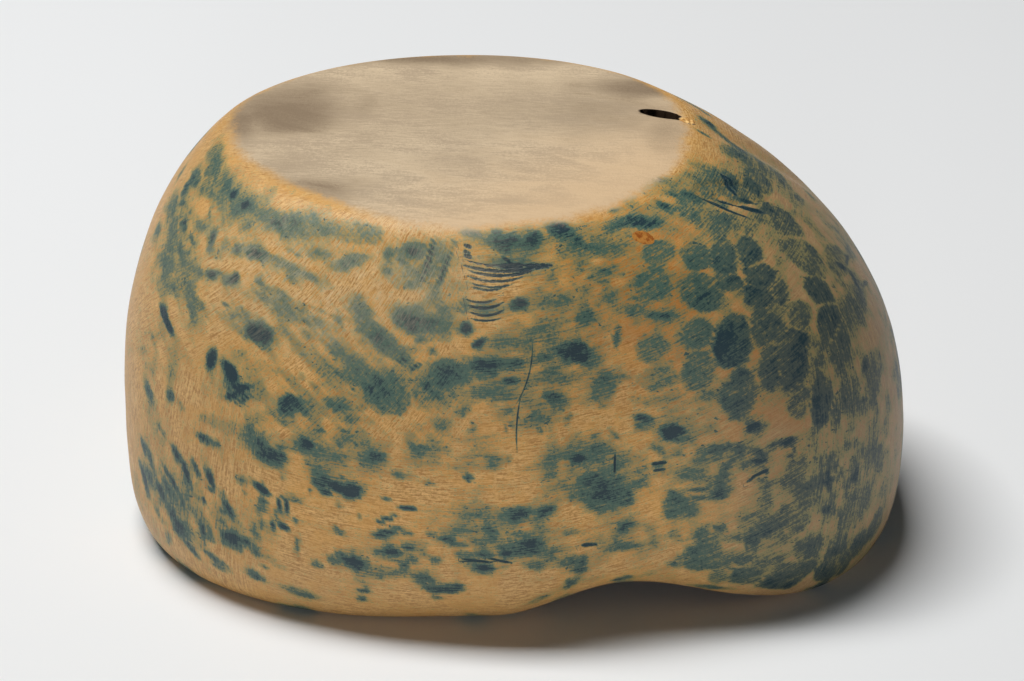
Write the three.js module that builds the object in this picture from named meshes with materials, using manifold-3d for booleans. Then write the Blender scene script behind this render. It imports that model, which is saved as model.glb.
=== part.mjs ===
// A bowl carved by hand from one block of root wood. It lies mouth down on its rim with its
// flat base on top. Millimetres, +Z up, +X along the length, -Y towards the front wall.
// The origin is on the surface that the rim stands on, under the middle of the belly.

import * as THREE from 'three';
import { mergeVertices } from 'three/addons/utils/BufferGeometryUtils.js';
import Module from 'manifold-3d';

// Overall form: the belly is the widest ring, the base the flat top
const bellyHalfLength = 125;
const bellyHalfDepth = 79;
const bellyPower = 2.4;
const bellyHeight = 23;
const bowlHeight = 130;

// Flat base: its reach from its own centre, and how far that centre stands off the belly's
const baseReachLeft = 74;
const baseReachRight = 68;
const baseReachFront = 65.5;
const baseReachBack = 53;
const basePower = 2.1;
const baseShiftX = -14.8;
const baseShiftY = 9.4;
const baseEdgeRound = 5;

// Upper wall: the angle at which it leaves the base, and how full its shoulder is
const shoulderStart = 29;
const shoulderFullness = 1.38;
const flatterShoulderShare = 0.168;
const flatterShoulderAngle = 18;
const flatterShoulderHalfAngle = 57;

// Rim: how far it is tucked in under the belly, and the flat land that it stands on
const tuckLeft = 6.4;
const tuckRight = 4.8;
const tuckFront = 13.5;
const tuckBack = 14;
const tuckAngle = 79;
const rimLandWidth = 5;

// Dip between the two front lobes: the rim rises there and the wall draws in
const dipAngle = -61;
const dipHalfAngle = 34;
const dipRise = 10.7;
const dipHollow = 7;

// Hollow: it follows the outside, and its ceiling is a little crowned
const sideThickness = 11;
const floorThickness = 13;
const ceilingCrown = 5;
const insideRound = 20;

// Crease between the two lobes of the right shoulder, running down from the slot
const creaseAngle = 7.5;
const creaseDrop = 15;
const creaseHalfLength = 20;
const creaseHalfWidth = 6;
const creaseDepth = 1.6;

// Natural slot in the base's right edge
const slotAngle = 7;
const slotInset = 7.5;
const slotHeadingAngle = -22;
const slotLength = 14;
const slotWidth = 5;
const slotDepth = 11;
const knotOverhang = 1.2;

// Leaf-shaped pocket in the right shoulder
const leafAngle = -19.5;
const leafDrop = 8;
const leafHeadingAngle = -42;
const leafLength = 33;
const leafWidth = 11;
const leafDepth = 1.2;
const barkForward = 6.5;
const barkEdgeShare = 0.72;
const barkAngle = 14;

const shellColour = 0xb98d57;
const shellRoughness = 0.55;

// What grew into the wood: each is flush with the surface and sits in a pocket cut for it
const fitClearance = 0.3;
const trimProud = 6;
const upperSeam = {
  name: 'bark_seam_upper', colour: 0x2a3440, roughness: 0.75,
  angle: -82, drop: 11, headingAngle: -6, length: 22, width: 5, depth: 5, sag: -1.2,
};
const lowerSeam = {
  name: 'bark_seam_lower', colour: 0x2b3643, roughness: 0.75,
  angle: -89, drop: 23, headingAngle: -14, length: 14, width: 4, depth: 4, sag: 0.8,
};
const pocketBark = {
  name: 'side_pocket_bark', colour: 0x3f4150, roughness: 0.7,
  length: 17, width: 2.8, depth: 4, sag: -0.9,
};
const slotKnot = {
  name: 'slot_knot', colour: 0xcfae7c, roughness: 0.6,
  length: 5.4, width: 4.6, depth: 6, sag: 0,
};
const resinPocket = {
  name: 'resin_pocket', colour: 0xa7642a, roughness: 0.35,
  angle: -49.5, drop: 8, headingAngle: -28, length: 8.4, width: 4.6, depth: 4, sag: 0.4,
};
const leftFleck = {
  name: 'bark_fleck_left', colour: 0x22303c, roughness: 0.75,
  angle: 202, drop: 40, headingAngle: -62, length: 9.5, width: 2.6, depth: 4, sag: 0.4,
};

// Fineness of the shell's mesh
const columns = 80;
const rows = { base: 3, edge: 3, wall: 14, tuck: 7, land: 1, mouth: 4, inside: 8, cove: 4, ceiling: 2 };
const outlineSteps = 9;

const rightAngle = Math.PI / 2;
const radians = THREE.MathUtils.degToRad;
const lerp = THREE.MathUtils.lerp;
const wasm = await Module();
wasm.setup();

// Radius of a superellipse with its own half-length on each side
function oval(angle, left, right, front, back, squareness) {
  const along = Math.cos(angle) / (Math.cos(angle) < 0 ? left : right);
  const across = Math.sin(angle) / (Math.sin(angle) < 0 ? front : back);
  return (Math.abs(along) ** squareness + Math.abs(across) ** squareness) ** (-1 / squareness);
}

// 1 at an angle, falling smoothly to 0 at halfAngle degrees on either side of it
function swell(angle, at, halfAngle) {
  const turn = Math.atan2(Math.sin(angle - radians(at)), Math.cos(angle - radians(at)));
  const share = Math.abs(turn) / radians(halfAngle);
  return share < 1 ? Math.cos(share * rightAngle) ** 2 : 0;
}

// A point at a radius from a centre, at a height
function ringPoint(angle, radius, height, centreX = 0, centreY = 0) {
  const x = centreX + radius * Math.cos(angle);
  const y = centreY + radius * Math.sin(angle);
  return new THREE.Vector3(x, y, height);
}

function baseEdge(angle) {
  const reach = oval(angle, baseReachLeft, baseReachRight, baseReachFront, baseReachBack, basePower);
  return ringPoint(angle, reach, bowlHeight, baseShiftX, baseShiftY);
}

function bellyRadius(angle) {
  const half = [bellyHalfLength, bellyHalfLength, bellyHalfDepth, bellyHalfDepth];
  const even = oval(angle, ...half, bellyPower);
  return even - dipHollow * swell(angle, dipAngle, dipHalfAngle);
}

function rimRadius(angle) {
  return bellyRadius(angle) - oval(angle, tuckLeft, tuckRight, tuckFront, tuckBack, 2);
}

function rimHeight(angle) {
  return dipRise * swell(angle, dipAngle, dipHalfAngle);
}

// Power that shapes the wall's fall from the base: below 1 makes the shoulder full
function wallPower(angle) {
  const flatter = flatterShoulderShare * swell(angle, flatterShoulderAngle, flatterShoulderHalfAngle);
  return 1 / (shoulderFullness * (1 - flatter));
}

// How far a turn has gone out from the base's edge to the belly, and how far up it still is
function outwardShare(turn) {
  const start = radians(shoulderStart);
  return (Math.sin(turn) - Math.sin(start)) / (1 - Math.sin(start));
}

function upwardShare(angle, turn) {
  const fall = Math.cos(turn) / Math.cos(radians(shoulderStart));
  return Math.max(fall, 0) ** wallPower(angle);
}

// Upper wall, from the base's edge (turn = shoulderStart) to the belly (turn = 90 degrees)
function smoothWall(angle, turn) {
  const belly = ringPoint(angle, bellyRadius(angle), bowlHeight);
  const point = baseEdge(angle).lerp(belly, outwardShare(turn));
  point.z = lerp(bellyHeight, bowlHeight, upwardShare(angle, turn));
  return point;
}

// The turn at which the wall has come a given way down from the base's edge
function turnAtReach(angle, reach) {
  const start = radians(shoulderStart);
  const step = 0.01;
  const speed = smoothWall(angle, start).distanceTo(smoothWall(angle, start + step)) / step;
  return start + reach / speed;
}

// The smooth wall's point at a drop below the base, found by undoing its upward share
function wallAt(angle, drop) {
  const upward = 1 - drop / (bowlHeight - bellyHeight);
  const turn = Math.acos(upward ** (1 / wallPower(angle)) * Math.cos(radians(shoulderStart)));
  return smoothWall(angle, turn);
}

// A frame on the wall: x along it to the right, y up it, z out of it, turned by a heading
function wallFrame(angle, drop, heading) {
  const here = wallAt(angle, drop);
  const step = 0.01;
  const along = wallAt(angle + step, drop).sub(wallAt(angle - step, drop));
  const up = wallAt(angle, drop - step).sub(wallAt(angle, drop + step));
  const out = along.clone().cross(up).normalize();
  const right = along.normalize().applyAxisAngle(out, radians(heading));
  const above = out.clone().cross(right);
  return new THREE.Matrix4().makeBasis(right, above, out).setPosition(here);
}

// Depth of the crease at a point: a long dip that fades along and across its line
const creaseFrame = wallFrame(radians(creaseAngle), creaseDrop, 0);
const intoCrease = creaseFrame.clone().invert();
function creaseAt(point) {
  const local = point.clone().applyMatrix4(intoCrease);
  const across = local.x / creaseHalfWidth;
  const along = local.y / creaseHalfLength;
  return creaseDepth * Math.exp(-across * across - along * along);
}

function wallPoint(angle, turn) {
  const point = smoothWall(angle, turn);
  const out = new THREE.Vector3().setFromMatrixColumn(creaseFrame, 2);
  return point.addScaledVector(out, -creaseAt(point));
}

// A point moved towards another by a distance
function stepTowards(point, other, distance) {
  return point.clone().lerp(other, distance / point.distanceTo(other));
}

// A rounded corner: the curve that starts towards the corner and ends coming from it
function roundedCorner(from, corner, to, share) {
  return from.clone().lerp(corner, share).lerp(corner.clone().lerp(to, share), share);
}

// Outside: the flat base, its rounded edge, and the wall down to the belly
function baseCentre() {
  return ringPoint(0, 0, bowlHeight, baseShiftX, baseShiftY);
}

function basePoint(angle, share) {
  return baseCentre().lerp(stepTowards(baseEdge(angle), baseCentre(), baseEdgeRound), share);
}

function edgePoint(angle, share) {
  const below = wallPoint(angle, turnAtReach(angle, baseEdgeRound));
  const corner = wallPoint(angle, radians(shoulderStart));
  return roundedCorner(basePoint(angle, 1), corner, below, share);
}

function upperWallPoint(angle, share) {
  return wallPoint(angle, lerp(turnAtReach(angle, baseEdgeRound), rightAngle, share));
}

// Lower wall, from the belly round under to the rim's outer edge
function tuckPoint(angle, share) {
  const end = radians(tuckAngle);
  const turn = share * end;
  const inward = (1 - Math.cos(turn)) / (1 - Math.cos(end));
  const downward = Math.sin(turn) / Math.sin(end);
  const radius = lerp(bellyRadius(angle), rimRadius(angle), inward);
  return ringPoint(angle, radius, lerp(bellyHeight, rimHeight(angle), downward));
}

// The flat land that the bowl stands on
function landPoint(angle, share) {
  return ringPoint(angle, rimRadius(angle) - share * rimLandWidth, rimHeight(angle));
}

// Inside, from the rim's land up to the height of the belly
function mouthPoint(angle, share) {
  const mouth = rimRadius(angle) - rimLandWidth;
  const inside = bellyRadius(angle) - sideThickness;
  const radius = lerp(mouth, inside, share * (2 - share));
  return ringPoint(angle, radius, lerp(rimHeight(angle), bellyHeight, share));
}

// Inside wall: the outside wall moved in by the side's thickness and lowered under the floor
function insideWall(angle, turn) {
  const outer = smoothWall(angle, turn);
  const middle = baseCentre().multiplyScalar(1 - outwardShare(turn)).setZ(outer.z);
  const inner = stepTowards(outer, middle, sideThickness);
  const top = bowlHeight - floorThickness - ceilingCrown;
  return inner.setZ(lerp(bellyHeight, top, upwardShare(angle, turn)));
}

function insidePoint(angle, share) {
  return insideWall(angle, lerp(rightAngle, turnAtReach(angle, insideRound), share));
}

// Ceiling of the hollow: it rises by its crown from the wall's top to its middle
function ceilingAt(angle, inward) {
  const middle = baseCentre().setZ(bowlHeight - floorThickness);
  const edge = insideWall(angle, radians(shoulderStart));
  const point = edge.clone().lerp(middle, inward);
  return point.setZ(lerp(edge.z, middle.z, inward * (2 - inward)));
}

function coveInward(angle) {
  return insideRound / insideWall(angle, radians(shoulderStart)).distanceTo(baseCentre());
}

function covePoint(angle, share) {
  const corner = insideWall(angle, radians(shoulderStart));
  return roundedCorner(insidePoint(angle, 1), corner, ceilingAt(angle, coveInward(angle)), share);
}

function ceilingPoint(angle, share) {
  return ceilingAt(angle, lerp(coveInward(angle), 1, share));
}

// The carved body without its hollow ends in a flat underside inside the rim's edge
function undersidePoint(angle, share) {
  const height = rimHeight(angle) * (1 - share);
  return ringPoint(angle, rimRadius(angle) * (1 - share), height);
}

// A closed surface: sections run one after another from the base's centre to the far pole
function turnedSurface(sections) {
  const total = sections.reduce((sum, section) => sum + section.rows, 0);
  const geometry = new THREE.SphereGeometry(1, columns, total);
  const places = geometry.attributes.position;
  const turns = geometry.attributes.uv;
  for (let index = 0; index < places.count; index += 1) {
    let row = Math.round((1 - turns.getY(index)) * total);
    let which = 0;
    while (row > sections[which].rows) {
      row -= sections[which].rows;
      which += 1;
    }
    const angle = Math.round(turns.getX(index) * columns) / columns * 2 * Math.PI;
    const point = sections[which].point(angle, row / sections[which].rows);
    places.setXYZ(index, point.x, point.y, point.z);
  }
  return geometry;
}

const outside = [
  { rows: rows.base, point: basePoint },
  { rows: rows.edge, point: edgePoint },
  { rows: rows.wall, point: upperWallPoint },
  { rows: rows.tuck, point: tuckPoint },
];
const hollow = [
  { rows: rows.land, point: landPoint },
  { rows: rows.mouth, point: mouthPoint },
  { rows: rows.inside, point: insidePoint },
  { rows: rows.cove, point: covePoint },
  { rows: rows.ceiling, point: ceilingPoint },
];

function toSolid(geometry) {
  const bare = geometry.clone();
  bare.deleteAttribute('normal');
  bare.deleteAttribute('uv');
  const merged = mergeVertices(bare, 1e-4);
  const vertProperties = new Float32Array(merged.attributes.position.array);
  const triVerts = new Uint32Array(merged.index.array);
  return new wasm.Manifold(new wasm.Mesh({ numProp: 3, vertProperties, triVerts }));
}

function toGeometry(solid) {
  const mesh = solid.getMesh();
  const geometry = new THREE.BufferGeometry();
  geometry.setAttribute('position', new THREE.BufferAttribute(mesh.vertProperties, 3));
  geometry.setIndex(new THREE.BufferAttribute(mesh.triVerts, 1));
  geometry.computeVertexNormals();
  return geometry;
}

// Outline of a strand or leaf: its middle line sags, and it tapers to both ends
function strandShape(length, width, sag) {
  const upper = [];
  const lower = [];
  for (let step = 1; step < outlineSteps; step += 1) {
    const share = -Math.cos(step / outlineSteps * Math.PI);
    const middle = sag * (1 - share * share);
    const half = width / 2 * Math.sqrt(1 - share * share);
    upper.push(new THREE.Vector2(share * length / 2, middle + half));
    lower.push(new THREE.Vector2(share * length / 2, middle - half));
  }
  const left = new THREE.Vector2(-length / 2, 0);
  const right = new THREE.Vector2(length / 2, 0);
  return new THREE.Shape([left, ...lower, right, ...upper.reverse()]);
}

// A solid of that outline, sunk by its depth below the surface and still proud of it
function plug(frame, piece, grow) {
  const shape = strandShape(piece.length + 2 * grow, piece.width + 2 * grow, piece.sag);
  const depth = piece.depth + grow + trimProud;
  const geometry = new THREE.ExtrudeGeometry(shape, { depth, bevelEnabled: false });
  geometry.translate(0, 0, -piece.depth - grow);
  geometry.applyMatrix4(frame);
  return toSolid(geometry);
}

function inGroundFrame(piece) {
  return wallFrame(radians(piece.angle), piece.drop, piece.headingAngle);
}

// The slot lies in the base just inside its edge, heading to the right and forwards
function slotFrame() {
  const place = stepTowards(baseEdge(radians(slotAngle)), baseCentre(), slotInset);
  return new THREE.Matrix4().makeRotationZ(radians(slotHeadingAngle)).setPosition(place);
}

// The knot closes the slot's right end, and its own left end hangs over the slot
function knotFrame() {
  const offset = (slotLength + slotKnot.length) / 2 - knotOverhang;
  return slotFrame().multiply(new THREE.Matrix4().makeTranslation(offset, 0, 0));
}

// The pocket's bark lies along the leaf's lower right edge, turned to follow it
function pocketBarkFrame(leafFrame) {
  const move = new THREE.Matrix4().makeTranslation(barkForward, -barkEdgeShare * leafWidth / 2, 0);
  const turn = new THREE.Matrix4().makeRotationZ(radians(barkAngle));
  return leafFrame.clone().multiply(move).multiply(turn);
}

function material(colour, roughness) {
  return new THREE.MeshStandardMaterial({ color: colour, roughness, metalness: 0 });
}

function buildBowl() {
  const carved = toSolid(turnedSurface([...outside, { rows: rows.land, point: undersidePoint }]));
  const slot = { length: slotLength, width: slotWidth, depth: slotDepth, sag: 0 };
  const leaf = { length: leafLength, width: leafWidth, depth: leafDepth, sag: 0 };
  const leafFrame = wallFrame(radians(leafAngle), leafDrop, leafHeadingAngle);
  const fittings = [
    { piece: upperSeam, frame: inGroundFrame(upperSeam) },
    { piece: lowerSeam, frame: inGroundFrame(lowerSeam) },
    { piece: pocketBark, frame: pocketBarkFrame(leafFrame) },
    { piece: slotKnot, frame: knotFrame() },
    { piece: resinPocket, frame: inGroundFrame(resinPocket) },
    { piece: leftFleck, frame: inGroundFrame(leftFleck) },
  ];

  let shell = toSolid(turnedSurface([...outside, ...hollow]));
  shell = shell.subtract(plug(slotFrame(), slot, 0));
  shell = shell.subtract(plug(leafFrame, leaf, 0));
  const group = new THREE.Group();
  const pieces = [];
  for (const { piece, frame } of fittings) {
    shell = shell.subtract(plug(frame, piece, fitClearance));
    const fitting = plug(frame, piece, 0).intersect(carved);
    const mesh = new THREE.Mesh(toGeometry(fitting), material(piece.colour, piece.roughness));
    mesh.name = piece.name;
    pieces.push(mesh);
  }
  const body = new THREE.Mesh(toGeometry(shell), material(shellColour, shellRoughness));
  body.name = 'bowl_shell';
  group.add(body, ...pieces);

  // The dip makes the front a little shallower, so the pieces move to centre the belly again
  body.geometry.computeBoundingBox();
  const middle = body.geometry.boundingBox.getCenter(new THREE.Vector3());
  for (const mesh of group.children) {
    mesh.geometry.translate(-middle.x, -middle.y, 0);
  }
  return group;
}

const rootBowl = buildBowl();
rootBowl.name = 'root_bowl';

export default rootBowl;
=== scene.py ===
from functools import partial

import bpy
import numpy as np
from bpy.props import FloatProperty, FloatVectorProperty, IntProperty, PointerProperty
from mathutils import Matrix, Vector


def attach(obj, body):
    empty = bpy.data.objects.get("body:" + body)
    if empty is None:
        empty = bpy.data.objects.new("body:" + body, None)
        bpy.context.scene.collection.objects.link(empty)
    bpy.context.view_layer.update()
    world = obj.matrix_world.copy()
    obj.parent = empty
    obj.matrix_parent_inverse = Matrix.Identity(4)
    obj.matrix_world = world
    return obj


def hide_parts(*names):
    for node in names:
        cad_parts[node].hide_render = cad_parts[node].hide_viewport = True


bl_info = {
    "name": "Root-wood bowl",
    "version": (1, 0, 0),
    "blender": (4, 5, 0),
    "location": "3D View > Sidebar > Root bowl",
    "description": "A carved root-wood bowl lying mouth down, with its dyed wall and bare base",
    "category": "Add Mesh",
}

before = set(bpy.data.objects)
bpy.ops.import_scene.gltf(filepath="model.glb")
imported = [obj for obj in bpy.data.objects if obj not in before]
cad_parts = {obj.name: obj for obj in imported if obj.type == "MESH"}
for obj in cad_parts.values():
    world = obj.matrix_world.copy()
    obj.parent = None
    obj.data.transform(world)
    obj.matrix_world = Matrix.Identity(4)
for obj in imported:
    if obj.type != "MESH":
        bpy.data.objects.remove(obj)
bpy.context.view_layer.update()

# The form, in millimetres and degrees, as the solids have it. Four values go to the left, right, front and
# back.
HEIGHT, BELLY_HEIGHT = 130.0, 23.0
BELLY_HALF, BELLY_POWER = (125.0, 125.0, 79.0, 79.0), 2.4
BASE_REACH, BASE_POWER = (74.0, 68.0, 65.5, 53.0), 2.1
BASE_CENTRE = (-14.8, 9.4)
EDGE_ROUND, BACK_EDGE_ROUND, BACK_AT, BACK_HALF = 5.0, 2.5, 95.0, 75.0
# The turn of the wall's curve at the base's edge, and how full and where flatter the shoulder is
SHOULDER = np.radians(29.0)
SHOULDER_FULLNESS = 1.38
FLATTER_SHARE, FLATTER_AT, FLATTER_HALF = 0.168, 18.0, 57.0
# How far the rim lies inside the belly, and how far round its curve the lower wall turns
TUCK, TUCK_POWER = (6.4, 4.8, 13.5, 14.0), 2.0
TUCK_TURN = np.radians(79.0)
LAND_WIDTH = 5.0
DIP_AT, DIP_HALF, DIP_RISE, DIP_HOLLOW = -61.0, 34.0, 10.7, 7.0
SIDE_WALL, FLOOR_WALL, CROWN, INSIDE_ROUND = 11.0, 13.0, 5.0, 20.0
CREASE_AT, CREASE_DROP = 7.5, 15.0
CREASE_HALF_LENGTH, CREASE_HALF_WIDTH, CREASE_DEPTH = 20.0, 6.0, 1.6
SLOT_AT, SLOT_INSET, SLOT_HEADING = 7.0, 7.5, -22.0
SLOT_LENGTH, SLOT_WIDTH, SLOT_DEPTH, KNOT_OVERHANG = 14.0, 5.0, 11.0, 1.2
LEAF_AT, LEAF_DROP, LEAF_HEADING = -19.5, 8.0, -42.0
LEAF_LENGTH, LEAF_WIDTH, LEAF_DEPTH = 33.0, 11.0, 1.2
CARVING = 0.64

# A step along an angle, a turn or a drop over which a slope is measured
STEP = 0.01

# The camera that the photograph was fitted with, in millimetres and degrees
CAMERA_AT = np.array([-1.04, -659.85, 454.87])
CAMERA_ELEVATION = 31.0
LENS, SENSOR = 85.0, 36.0
PHOTO_WIDTH, PHOTO_HEIGHT = 1024, 681


def lerp(low, high, share):
    """The value a share of the way from low to high"""
    return low + (high - low) * share


def ramp(value, low, high):
    """0 below low, 1 above high, and a smooth S between them"""
    share = np.clip((value - low) / (high - low), 0.0, 1.0)
    return share * share * (3.0 - 2.0 * share)


def noise(points, size, seed):
    """Random values from -1 to 1 on a cubic lattice of the given size. A place gets the sum of its cell's
    eight corners, each weighted by the product of three quintic S curves. A corner's value is a hash of its
    three whole numbers and the seed, in 32 bits."""
    place = points / size + 137.0
    cell = np.floor(place).astype(np.int64)
    part = place - cell
    part = part ** 3 * (part * (part * 6.0 - 15.0) + 10.0)
    factors = np.array([374761393, 668265263, 2246822519])
    total = 0.0
    for corner in range(8):
        step = np.array([corner & 1, corner >> 1 & 1, corner >> 2])
        code = (((cell + step) * factors).sum(axis=-1) + seed * 3266489917) & 0xFFFFFFFF
        code = ((code ^ code >> 13) * 1274126177) & 0xFFFFFFFF
        value = (code ^ code >> 16) / 0x7FFFFFFF - 1.0
        total = total + value * np.prod(np.where(step == 1, part, 1.0 - part), axis=-1)
    return total


def noises(points, *layers):
    """The sum of layers of noise, each its strength, its size in millimetres and its seed"""
    return sum(strength * noise(points, size, seed) for strength, size, seed in layers)


# The shell: each section of its closed profile is a function of the angle round the bowl and a share

def oval(angle, sides, power):
    """Radius of a superellipse that has its own half-length to the left, right, front and back: the sum of
    the cosine over its half-length and the sine over its own, each to the power, to the power of minus one
    over it"""
    left, right, front, back = sides
    along = np.cos(angle) / np.where(np.cos(angle) < 0, left, right)
    across = np.sin(angle) / np.where(np.sin(angle) < 0, front, back)
    return (np.abs(along) ** power + np.abs(across) ** power) ** (-1.0 / power)


def swell(angle, at, half):
    """A squared cosine: 1 at an angle and 0 beyond half degrees on either side of it"""
    turn = angle - np.radians(at)
    share = np.abs(np.arctan2(np.sin(turn), np.cos(turn))) / np.radians(half)
    return np.where(share < 1, np.cos(np.minimum(share, 1) * np.pi / 2) ** 2, 0.0)


def ring(angle, radius, height, centre=(0.0, 0.0)):
    """Points at a radius from a centre, at a height"""
    angle, radius, height = np.broadcast_arrays(angle, radius, height)
    x, y = centre[0] + radius * np.cos(angle), centre[1] + radius * np.sin(angle)
    return np.stack([x, y, height], axis=-1)


def edge_round(angle):
    """How far the rounding of the base's edge reaches: less at the back"""
    return lerp(EDGE_ROUND, BACK_EDGE_ROUND, swell(angle, BACK_AT, BACK_HALF))


def base_edge(angle):
    """The base's sharp edge, before it is rounded: a superellipse about the base's centre"""
    return ring(angle, oval(angle, BASE_REACH, BASE_POWER), HEIGHT, BASE_CENTRE)


def belly_radius(angle):
    """The belly's superellipse, less a squared cosine over the dip"""
    return oval(angle, BELLY_HALF, BELLY_POWER) - DIP_HOLLOW * swell(angle, DIP_AT, DIP_HALF)


def rim_radius(angle):
    """The belly's radius less the tuck, which is an ellipse's radius"""
    return belly_radius(angle) - oval(angle, TUCK, TUCK_POWER)


def rim_height(angle):
    """The rim's height: a squared cosine over the dip, and 0 elsewhere"""
    return DIP_RISE * swell(angle, DIP_AT, DIP_HALF)


def wall_power(angle):
    """The power of the cosine that brings the wall down: one over the shoulder's fullness there"""
    return 1.0 / (SHOULDER_FULLNESS * (1.0 - FLATTER_SHARE * swell(angle, FLATTER_AT, FLATTER_HALF)))


def outward_share(turn):
    """0 at the base's edge and 1 at the belly: the sine of the turn, scaled to run between them"""
    return (np.sin(turn) - np.sin(SHOULDER)) / (1.0 - np.sin(SHOULDER))


def upward_share(angle, turn):
    """1 at the base's edge and 0 at the belly: the cosine of the turn over its first value, to the
    wall's power"""
    return np.maximum(np.cos(turn) / np.cos(SHOULDER), 0.0) ** wall_power(angle)


def smooth_wall(angle, turn):
    """From the base's edge to the belly: a sine carries it out while a power of a cosine brings it down"""
    out = outward_share(turn)[..., None]
    point = lerp(base_edge(angle), ring(angle, belly_radius(angle), HEIGHT), out)
    point[..., 2] = lerp(BELLY_HEIGHT, HEIGHT, upward_share(angle, turn))
    return point


def turn_at_reach(angle, reach):
    """The turn at which the wall has come a given way down from the base's edge: the way over the speed
    there"""
    start = SHOULDER + 0 * angle
    speed = np.linalg.norm(smooth_wall(angle, start) - smooth_wall(angle, start + STEP), axis=-1) / STEP
    return SHOULDER + reach / speed


def wall_at(angle, drop):
    """The smooth wall's point at a drop below the base: the turn is the arc cosine that gives this
    height"""
    upward = np.clip(1.0 - drop / (HEIGHT - BELLY_HEIGHT), 0.0, 1.0)
    turn = np.arccos(np.clip(upward ** (1.0 / wall_power(angle)) * np.cos(SHOULDER), -1.0, 1.0))
    return smooth_wall(angle, turn)


def wall_frame(angle, drop, heading):
    """Origin and axes on the wall: along it to the right, up it and out of it, turned by a heading. The
    first two come from points a step to either side, and the third is their cross product."""
    angle = np.radians(angle)
    here = wall_at(np.array(angle), np.array(drop))
    along = wall_at(np.array(angle + STEP), np.array(drop)) - wall_at(np.array(angle - STEP), np.array(drop))
    up = wall_at(np.array(angle), np.array(drop - STEP)) - wall_at(np.array(angle), np.array(drop + STEP))
    out = np.cross(along, up)
    out /= np.linalg.norm(out)
    along = along / np.linalg.norm(along)
    up = np.cross(out, along)
    heading = np.radians(heading)
    right = along * np.cos(heading) + up * np.sin(heading)
    return here, right, np.cross(out, right), out


def into(place, points):
    """Coordinates of points in a local frame: the dot products of their offset with its axes"""
    origin, *axes = place
    return [(points - origin) @ axis for axis in axes]


CREASE = wall_frame(CREASE_AT, CREASE_DROP, 0.0)


def wall_point(angle, turn):
    """The smooth wall with a soft crease between the lobes of its right shoulder: a bell curve across it
    times one along it, taken off along the crease's outward axis"""
    point = smooth_wall(angle, turn)
    across, along, _ = into(CREASE, point)
    depth = CREASE_DEPTH * np.exp(-(across / CREASE_HALF_WIDTH) ** 2 - (along / CREASE_HALF_LENGTH) ** 2)
    return point - CREASE[3] * depth[..., None]


def step_towards(point, other, distance):
    """The point a distance along the straight line to another point"""
    way = other - point
    return point + way * (np.asarray(distance)[..., None] / np.linalg.norm(way, axis=-1, keepdims=True))


def rounded_corner(start, corner, end, share):
    """The quadratic curve that starts towards a corner and ends coming from it"""
    share = share[..., None]
    return lerp(lerp(start, corner, share), lerp(corner, end, share), share)


def base_centre(angle):
    """The base's centre, once for each angle"""
    return ring(angle, 0.0, HEIGHT, BASE_CENTRE)


def base_point(angle, share):
    """The flat base, from its centre straight out to where its edge begins to round"""
    edge = step_towards(base_edge(angle), base_centre(angle), edge_round(angle))
    return lerp(base_centre(angle), edge, share[..., None])


def edge_point(angle, share):
    """The base's rounded edge: a quadratic curve whose corner is the sharp edge"""
    below = wall_point(angle, turn_at_reach(angle, edge_round(angle)))
    corner = wall_point(angle, SHOULDER + 0 * angle)
    return rounded_corner(base_point(angle, np.ones_like(angle)), corner, below, share)


def upper_wall_point(angle, share):
    """The wall from below the rounded edge to the belly, at even steps of the turn"""
    return wall_point(angle, lerp(turn_at_reach(angle, edge_round(angle)), np.pi / 2, share))


def tuck_point(angle, share):
    """The lower wall, from the belly round under to the rim's outer edge: inward by one minus the cosine of
    the turn and downward by its sine, both scaled to end at the rim"""
    turn = share * TUCK_TURN
    inward = (1 - np.cos(turn)) / (1 - np.cos(TUCK_TURN))
    downward = np.sin(turn) / np.sin(TUCK_TURN)
    radius = lerp(belly_radius(angle), rim_radius(angle), inward)
    return ring(angle, radius, lerp(BELLY_HEIGHT, rim_height(angle), downward))


def land_point(angle, share):
    """The rim's flat land, straight in from its outer edge"""
    return ring(angle, rim_radius(angle) - share * LAND_WIDTH, rim_height(angle))


def mouth_point(angle, share):
    """From the rim's inner edge up to the inside wall: even in height, and outward by a parabola"""
    radius = lerp(rim_radius(angle) - LAND_WIDTH, belly_radius(angle) - SIDE_WALL, share * (2 - share))
    return ring(angle, radius, lerp(rim_height(angle), BELLY_HEIGHT, share))


def inside_wall(angle, turn):
    """The outside wall moved level towards the middle by the side's thickness, and squeezed in height to
    end under the floor"""
    outer = smooth_wall(angle, turn)
    middle = base_centre(angle) * (1.0 - outward_share(turn))[..., None]
    middle[..., 2] = outer[..., 2]
    inner = step_towards(outer, middle, SIDE_WALL)
    inner[..., 2] = lerp(BELLY_HEIGHT, HEIGHT - FLOOR_WALL - CROWN, upward_share(angle, turn))
    return inner


def inside_point(angle, share):
    """The inside wall from the belly up to where its corner begins to round, at even steps of the
    turn"""
    return inside_wall(angle, lerp(np.pi / 2, turn_at_reach(angle, INSIDE_ROUND), share))


def ceiling_at(angle, inward):
    """The ceiling a share of the way in: straight in plan, and rising by the crown on a parabola"""
    middle = base_centre(angle)
    middle[..., 2] = HEIGHT - FLOOR_WALL
    edge = inside_wall(angle, SHOULDER + 0 * angle)
    point = lerp(edge, middle, inward[..., None])
    point[..., 2] = lerp(edge[..., 2], middle[..., 2], inward * (2 - inward))
    return point


def cove_inward(angle):
    """The share of the way in at which the ceiling's corner ends: the rounding over the ceiling's reach"""
    edge = inside_wall(angle, SHOULDER + 0 * angle)
    return INSIDE_ROUND / np.linalg.norm(edge - base_centre(angle), axis=-1)


def cove_point(angle, share):
    """The rounded corner inside: a quadratic curve whose corner is where wall and ceiling would meet"""
    corner = inside_wall(angle, SHOULDER + 0 * angle)
    below = inside_point(angle, np.ones_like(angle))
    return rounded_corner(below, corner, ceiling_at(angle, cove_inward(angle)), share)


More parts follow.
